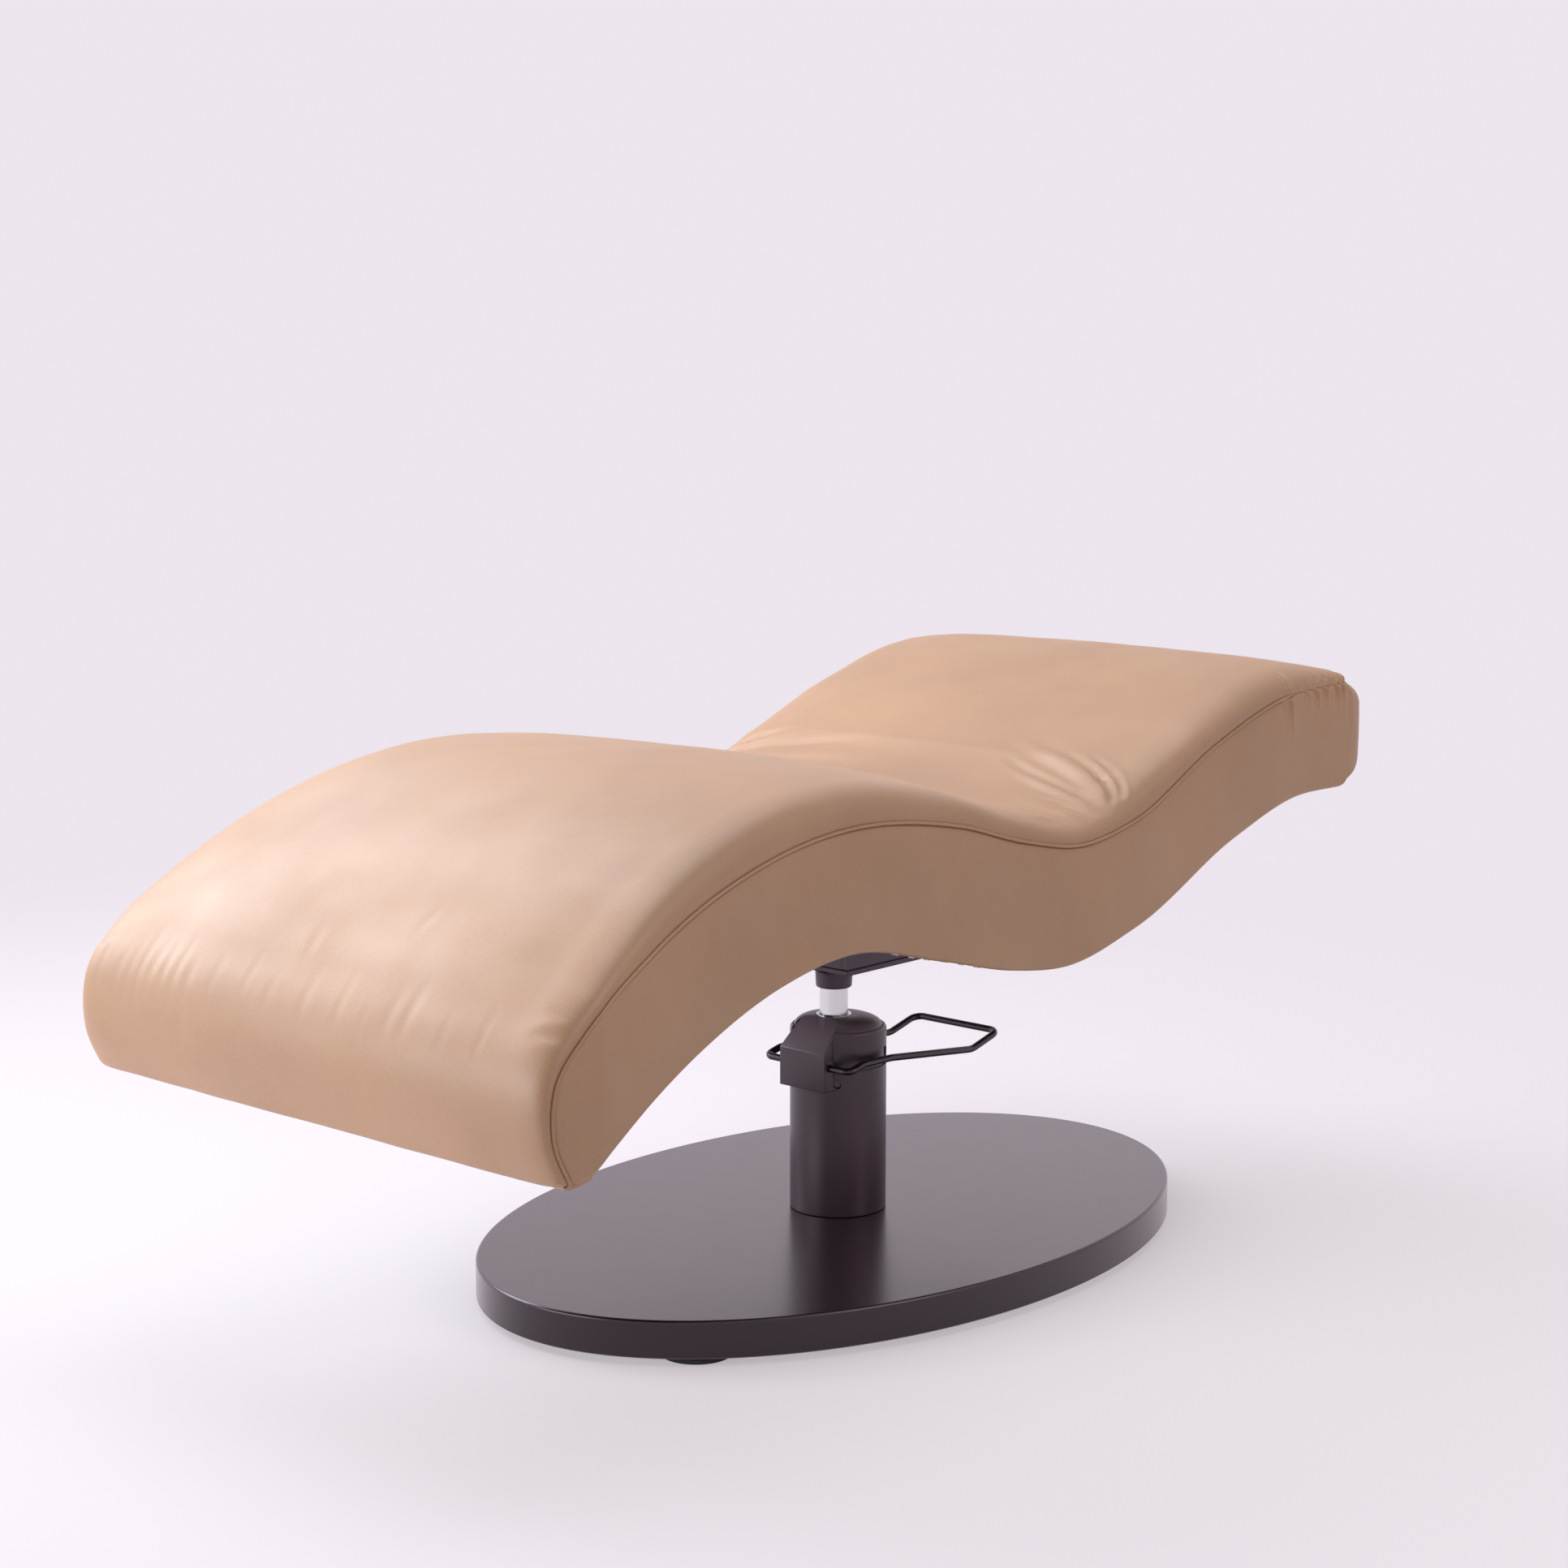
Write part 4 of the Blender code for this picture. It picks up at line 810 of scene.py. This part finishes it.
def build_base():
    """Pressed oval cover with a rounded rim, and the four pads that it stands on."""
    half_x, half_y, top, low, edge = 0.357, 0.55, 0.055, 0.009, 0.0036
    profile = [(0.06, top - 0.003), (0.003, top - 0.003), (0.003, low), (0.0015, low), (0.0, low + 0.0015)]
    profile += [(0.0, 0.02), (0.0, top - edge - 0.001)]
    profile += [(edge - r, z) for r, z in arc(0.0, top - edge, edge, 0, 90, 8)]
    profile += [(edge + 0.0015, top), (0.06, top), (0.18, top)]
    rings = [oval(half_x - inset, half_y - inset, height, count=240) for inset, height in profile]
    item = loft("oval_cover", rings, "base", "base_black", 40)
    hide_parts("base_plate")
    for number in range(1, 5):
        start, stop = map(np.array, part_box("glide_%d" % number))
        x, y, _ = (start + stop) / 2
        radius = (stop[0] - start[0]) / 2
        profile = [(radius * 0.3, 0.0012), (radius * 0.34, 0.0), (radius - 0.0035, 0.0)]
        profile += arc(radius - 0.0025, 0.0025, 0.0025, -80, 0, 4)
        profile += [(radius, 0.006), (radius - 0.001, 0.0072), (radius - 0.001, 0.0086)]
        glide = turned("floor_glide_%d" % number, profile, "base", "glide_rubber", (x, y - AXIS_Y), 64)
        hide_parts("glide_%d" % number)


def build_shell():
    """Pump's cover with its nose, the lever's slots and bore, and the seats of two screws."""
    radius, wall, low, top = 0.0628, 0.0043, 0.0553, 0.2984
    outer = [(radius - wall, low), (radius - 0.0012, low)]
    outer += arc(radius - 0.0012, low + 0.0012, 0.0012, -60, 0, 3) + [(radius, 0.16)]
    outer += [(radius - 0.0037 + 0.0037 * math.cos(a), top - 0.0052 + 0.0052 * math.sin(a))
              for a in np.linspace(0, 0.5 * math.pi, 10)]
    outer += [(radius - wall + 0.0002, top - 0.0002), (radius - wall, top - 0.001)]
    shell = turned("pump_cover", outer, "base", "pump_black", sides=160, bored=True, smooth_deg=50)
    cuts = [("DIFFERENCE", slope_cutter()), ("UNION", nose_block())]
    ring = arc(0.0, 0.0, 0.0606, -46, 34, 24) + arc(0.0, 0.0, 0.068, 34, -46, 24)
    for side in (-1, 1):
        rings = [[(side * x, y, z) for x, y in ring] for z in (0.248, 0.272)]
        cuts.append(("DIFFERENCE", loft("slot_cut_%d" % side, rings, "base", "pump_black")))
    cuts.append(("DIFFERENCE", bar("bore_cut", (-0.05, -0.06, 0.255), (0.05, -0.06, 0.255), 0.0053)))
    for number, degrees in enumerate((-50, -130), start=1):
        out = Vector((math.cos(math.radians(degrees)), math.sin(math.radians(degrees)), 0.0))
        height = Vector((0, 0, SCREW_HEIGHT))
        seat = bar("seat_cut_%d" % number, out * 0.0525 + height, out * 0.07 + height, 0.0049)
        cuts.append(("DIFFERENCE", seat))
        build_screw(number, out)
    carve(shell, cuts, 28)
    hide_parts("pump_shell")


def mirrored_hull(corners):
    """Convex solid through corners on one side and their mirror images."""
    work = bmesh.new()
    for side in (-1, 1):
        for x, y, z in corners:
            work.verts.new((side * x, y + AXIS_Y, z))
    bmesh.ops.convex_hull(work, input=work.verts)
    return work


def pump_solid(name, work):
    mesh = bpy.data.meshes.new(name)
    work.to_mesh(mesh)
    work.free()
    return finish_mesh(name, mesh, "base", "pump_black")


def nose_block():
    """Angular nose that carries the lever's pivot, with softly broken edges."""
    work = mirrored_hull((
        (0.0385, -0.0712, 0.224), (0.0385, -0.0712, 0.2745), (0.0345, -0.0484, 0.2968),
        (0.0345, -0.045, 0.2968), (0.0345, -0.045, 0.2745), (0.0385, -0.045, 0.224)))
    bmesh.ops.dissolve_limit(work, angle_limit=math.radians(2), verts=work.verts, edges=work.edges)
    front = AXIS_Y - 0.071
    edges = [e for e in work.edges if min(v.co.y for v in e.verts) < front and e.calc_face_angle() > 0.3]
    bmesh.ops.bevel(work, geom=edges, offset=0.0013, segments=3, profile=0.5, affect="EDGES")
    return pump_solid("nose_solid", work)


def slope_cutter():
    """Volume in front of the nose's slope; it takes away the rim that would stand proud of it."""
    return pump_solid("slope_cut", mirrored_hull((
        (0.0385, -0.0712, 0.2746), (0.0302, -0.0256, 0.3192), (0.0385, -0.1, 0.2746),
        (0.0302, -0.1, 0.3192))))


def bar(name, start, stop, radius):
    """Level round bar that cuts a bore."""
    start, stop = Vector(start), Vector(stop)
    ahead = (stop - start).normalized()
    a = ahead.cross(Vector((0, 0, 1))).normalized()
    rings = [circle(point, a, ahead.cross(a), radius, 32) for point in (start, stop)]
    return loft(name, rings, "base", "pump_black")


def carve(item, cuts, smooth_deg):
    """Joins other pieces to a piece or cuts them from it, for good; each cut is (operation, piece)."""
    for operation, other in cuts:
        modify(item, other.name, "BOOLEAN", operation=operation, solver="EXACT", object=other)
    bpy.context.view_layer.update()
    graph = bpy.context.evaluated_depsgraph_get()
    mesh = bpy.data.meshes.new_from_object(item.evaluated_get(graph))
    item.modifiers.clear()
    item.data = mesh
    for _, other in cuts:
        bpy.data.objects.remove(other, do_unlink=True)
    shade_smooth(mesh, smooth_deg)


def build_screw(number, out):
    """Socket-head screw sunk in the cover."""
    seat = Vector((0, 0, SCREW_HEIGHT))
    across = Vector((-out.y, out.x, 0.0))
    rings = []
    for reach, radius, sides in ((0.053, 0.0044, 36), (0.0575, 0.0044, 36), (0.0583, 0.0037, 36),
                                 (0.0583, 0.0026, 6), (0.0555, 0.0026, 6), (0.055, 0.0008, 36)):
        ring = []
        for k in range(36):
            angle = 2 * math.pi * k / 36
            r = radius
            if sides == 6:
                part = (angle + math.pi / 6) % (math.pi / 3) - math.pi / 6
                r = radius * math.cos(math.pi / 6) / math.cos(part)
            ring.append(out * reach + across * (r * math.cos(angle)) + seat
                        + Vector((0, 0, r * math.sin(angle))))
        rings.append(ring)
    item = loft("socket_screw_%d" % number, rings, "base", "dark_steel", 30, look="screw")
    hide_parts("cover_screw_%d" % number)


def build_cap_and_rod():
    """Domed lid that is cut back for the nose's slope, the bright ring in its hole, and the ram."""
    radius, hole, low, crown_z, top = 0.0582, 0.024, 0.2866, 0.2962, 0.313
    profile = [(hole, low), (radius - 0.0006, low), (radius, low + 0.0006), (radius, crown_z)]
    for k in range(1, 22):
        angle = 0.5 * math.pi * k / 21 * 0.93
        profile.append((0.02 + (radius - 0.02) * math.cos(angle),
                        crown_z + (top - crown_z) * math.sin(angle)))
    profile += [(hole + 0.0004, top - 0.0002), (hole, top - 0.001)]
    rings = [oval(r, r, z, (0.0, RAM_Y * (radius - r) / (radius - hole)), 160) for r, z in profile]
    cap = loft("pump_lid", rings, "base", "pump_black", 50, closed=True)
    carve(cap, [("DIFFERENCE", slope_cutter())], 40)
    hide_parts("pump_cap")
    profile = [(0.0188, 0.297), (0.0233, 0.297), (0.0233, 0.312)] + arc(0.0221, 0.3126, 0.0012, 0, 90, 5)
    profile += [(0.0205, 0.3138), (0.02, 0.313), (0.0188, 0.313)]
    ring = turned("rod_wiper", profile, "base", "bright_steel", (0.0, RAM_Y), bored=True)
    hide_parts("wiper_ring")
    profile = [(ROD_RADIUS - 0.0008, 0.105), (ROD_RADIUS, 0.1058), (ROD_RADIUS, 0.25), (ROD_RADIUS, 0.3664),
               (ROD_RADIUS - 0.0008, 0.3672)]
    rod = turned("lift_rod", profile, "lift", "bright_steel", (0.0, RAM_Y))
    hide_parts("piston_rod")


# Corners of the lever's right half, as (y, z, bend radius), from the pivot to the foot bar
LEVER_CORNERS = (
    (-0.06, 0.255, 0.01), (-0.034, 0.2612, 0.03), (0.022, 0.26, 0.08), (0.19, 0.2415, 0.04),
    (0.246, 0.2565, 0.014),
)


def build_lever():
    """One bent rod: pivot run through the nose, two arms past the column, and the foot bar."""
    corners = [(Vector((0.0715, y, z)), r) for y, z, r in LEVER_CORNERS]
    corners += [(Vector((-p.x, p.y, p.z)), r) for p, r in reversed(corners)]
    path = []
    for i, (corner, radius) in enumerate(corners):
        before, after = corners[i - 1][0], corners[(i + 1) % len(corners)][0]
        path += bend(before, corner, after, radius)
    rings = []
    up = Vector((0, 0, 1))
    for i, point in enumerate(path):
        travel = (path[(i + 1) % len(path)] - path[i - 1]).normalized()
        across = travel.cross(up).normalized()
        lift = across.cross(travel).normalized()
        rings.append(circle(point, across, lift, LEVER_RADIUS, 20))
    item = loft("foot_bar", rings, "lever", "lever_black", closed=True)
    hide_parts("foot_lever")


def bend(before, corner, after, radius):
    """Points on the arc that rounds a corner of a path."""
    inward, onward = (before - corner).normalized(), (after - corner).normalized()
    opening = inward.angle(onward)
    run = radius / math.tan(opening / 2)
    centre = corner + (inward + onward).normalized() * (radius / math.sin(opening / 2))
    start, end = corner + inward * run - centre, corner + onward * run - centre
    sweep = start.angle(end)
    steps = max(4, round(sweep / math.radians(6)))
    return [centre + start * (math.sin((1 - t) * sweep) / math.sin(sweep))
            + end * (math.sin(t * sweep) / math.sin(sweep)) for t in (k / steps for k in range(steps + 1))]


def build_socket():
    profile = [(0.0188, 0.349), (0.02, 0.349)] + arc(0.0205, 0.352, 0.003, -90, 0, 6)
    profile += [(0.0243, 0.369), (0.0238, 0.3707), (0.0004, 0.3707), (0.0004, 0.3675), (0.0188, 0.3675)]
    item = turned("rod_socket", profile, "bed", "mount_black", (0.0, RAM_Y), bored=True)
    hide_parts("seat_socket")


# ---- stage, light and camera ----

BACKDROP, FLOOR_TONE, WORLD_TONE = (0.845, 0.785, 0.85, 1.0), (0.9, 0.86, 0.9, 1.0), (0.97, 0.93, 1.0, 1.0)
WORLD_LIGHT = 0.03
NEAR, FAR = 0.9, 3.2     # the floor melts into the backdrop between these distances
# Painted light and shade on the floor: a brighter glow near the object, and a painted contact shadow close to
# it.
FLOOR_BLEND, PAINTED_LIGHT_NEAR, PAINTED_SHADOW_DIM = 0.58, 1.22, 0.72
CAMERA_PLACE, CAMERA_TILT, CAMERA_TURN = (2.4949, -2.8664, 1.1817), 0.148586, 0.734793


def build_stage():
    """Pale floor that melts into the backdrop away from the object; near the object its glow is painted
    brighter and dimmed by a painted contact shadow.
    """
    size = 30.0
    mesh = bpy.data.meshes.new("floor")
    mesh.from_pydata([(-size, -size, 0), (size, -size, 0), (size, size, 0), (-size, size, 0)], [],
                     [(0, 1, 2, 3)])
    floor = stand("floor", mesh)
    look = new_look("floor_look")
    mesh.materials.append(look.surface(Base_Color=FLOOR_TONE, Roughness=0.75, Specular_IOR_Level=0.2))
    far = look.add("VectorMath", look.vector, operation="LENGTH").outputs["Value"]
    # Painted contact shadow: ambient occlusion dims the floor's glow where things stand close; the glow is
    # also painted brighter near the object.
    painted_contact_shadow = look.add("AmbientOcclusion", Distance=0.3)
    painted_contact_shadow.samples = 8
    strength = look.calc("MULTIPLY", look.remap(far, NEAR, FAR, PAINTED_LIGHT_NEAR, 1.0),
                         look.remap(painted_contact_shadow.outputs["AO"], 0.3, 1.0, PAINTED_SHADOW_DIM, 1.0))
    glow = look.add("Emission", Color=BACKDROP, Strength=strength)
    gate = look.calc("MULTIPLY", look.remap(far, NEAR, FAR, FLOOR_BLEND, 1.0), look.seen())
    nodes = look.tree.nodes
    mix = look.add("MixShader", gate, nodes["Principled BSDF"].outputs["BSDF"],
                   glow.outputs["Emission"])
    look.feed(nodes["Material Output"], Surface=mix.outputs["Shader"])


def build_world():
    world = bpy.data.worlds.new("studio")
    bpy.context.scene.world = world
    look = Graph(world)
    look.tree.nodes.clear()
    shown = look.add("Background", Color=BACKDROP, Strength=1.0)
    lit = look.add("Background", Color=WORLD_TONE, Strength=WORLD_LIGHT)
    mix = look.add("MixShader", look.seen(), lit.outputs[0], shown.outputs[0])
    look.add("OutputWorld", Surface=mix.outputs[0])


def area_light(name, place, aim, size, power, colour):
    data = bpy.data.lights.new(name, "AREA")
    data.shape = "RECTANGLE"
    data.size, data.size_y = size
    data.energy, data.color = power, colour
    lamp = stand(name, data)
    lamp.location = place
    lamp.rotation_euler = (Vector(aim) - Vector(place)).to_track_quat("-Z", "Y").to_euler()


def build_lights():
    cool, warm = (0.975, 1.0, 1.05), (1.04, 0.965, 0.87)
    area_light("key_softbox", (-2.45, -0.05, 2.75), (-0.05, -0.6, 0.5), (1.9, 1.9), 35, cool)
    area_light("left_softbox", (-2.7, -1.3, 2.1), (0.0, -0.3, 0.55), (1.9, 1.9), 62, cool)
    area_light("top_softbox", (-0.2, 0.2, 3.4), (0.0, 0.0, 0.5), (2.4, 2.4), 42, cool)
    area_light("low_softbox", (-1.2, -3.6, 0.9), (0.0, -0.3, 0.3), (2.4, 1.4), 50, (0.985, 1.0, 1.03))
    area_light("right_softbox", (3.6, 0.6, 2.2), (0.0, 0.0, 0.4), (2.0, 2.0), 32.5, warm)


def build_camera():
    data = bpy.data.cameras.new("camera")
    data.lens = 68.61
    data.sensor_width = 36.0
    data.clip_end = 100.0
    camera = stand("camera", data)
    camera.location = Vector(CAMERA_PLACE) + Vector(SHIFT)
    camera.rotation_euler = (math.pi / 2 - CAMERA_TILT, 0.0, CAMERA_TURN)
    bpy.context.scene.camera = camera


bpy.context.scene.view_settings.view_transform = "Standard"
build_camera()
dress_cad_nodes()
wave = Wave()
build_cushion(wave)
for side, tag in ((-1, "left"), (1, "right")):
    build_side(wave, side, tag)
    build_welt(wave, side, tag)
build_end_pad(wave)
build_deck(wave)
build_underside(wave)
build_staples(wave)
build_base()
build_shell()
build_cap_and_rod()
build_lever()
build_socket()
build_stage()
build_world()
build_lights()
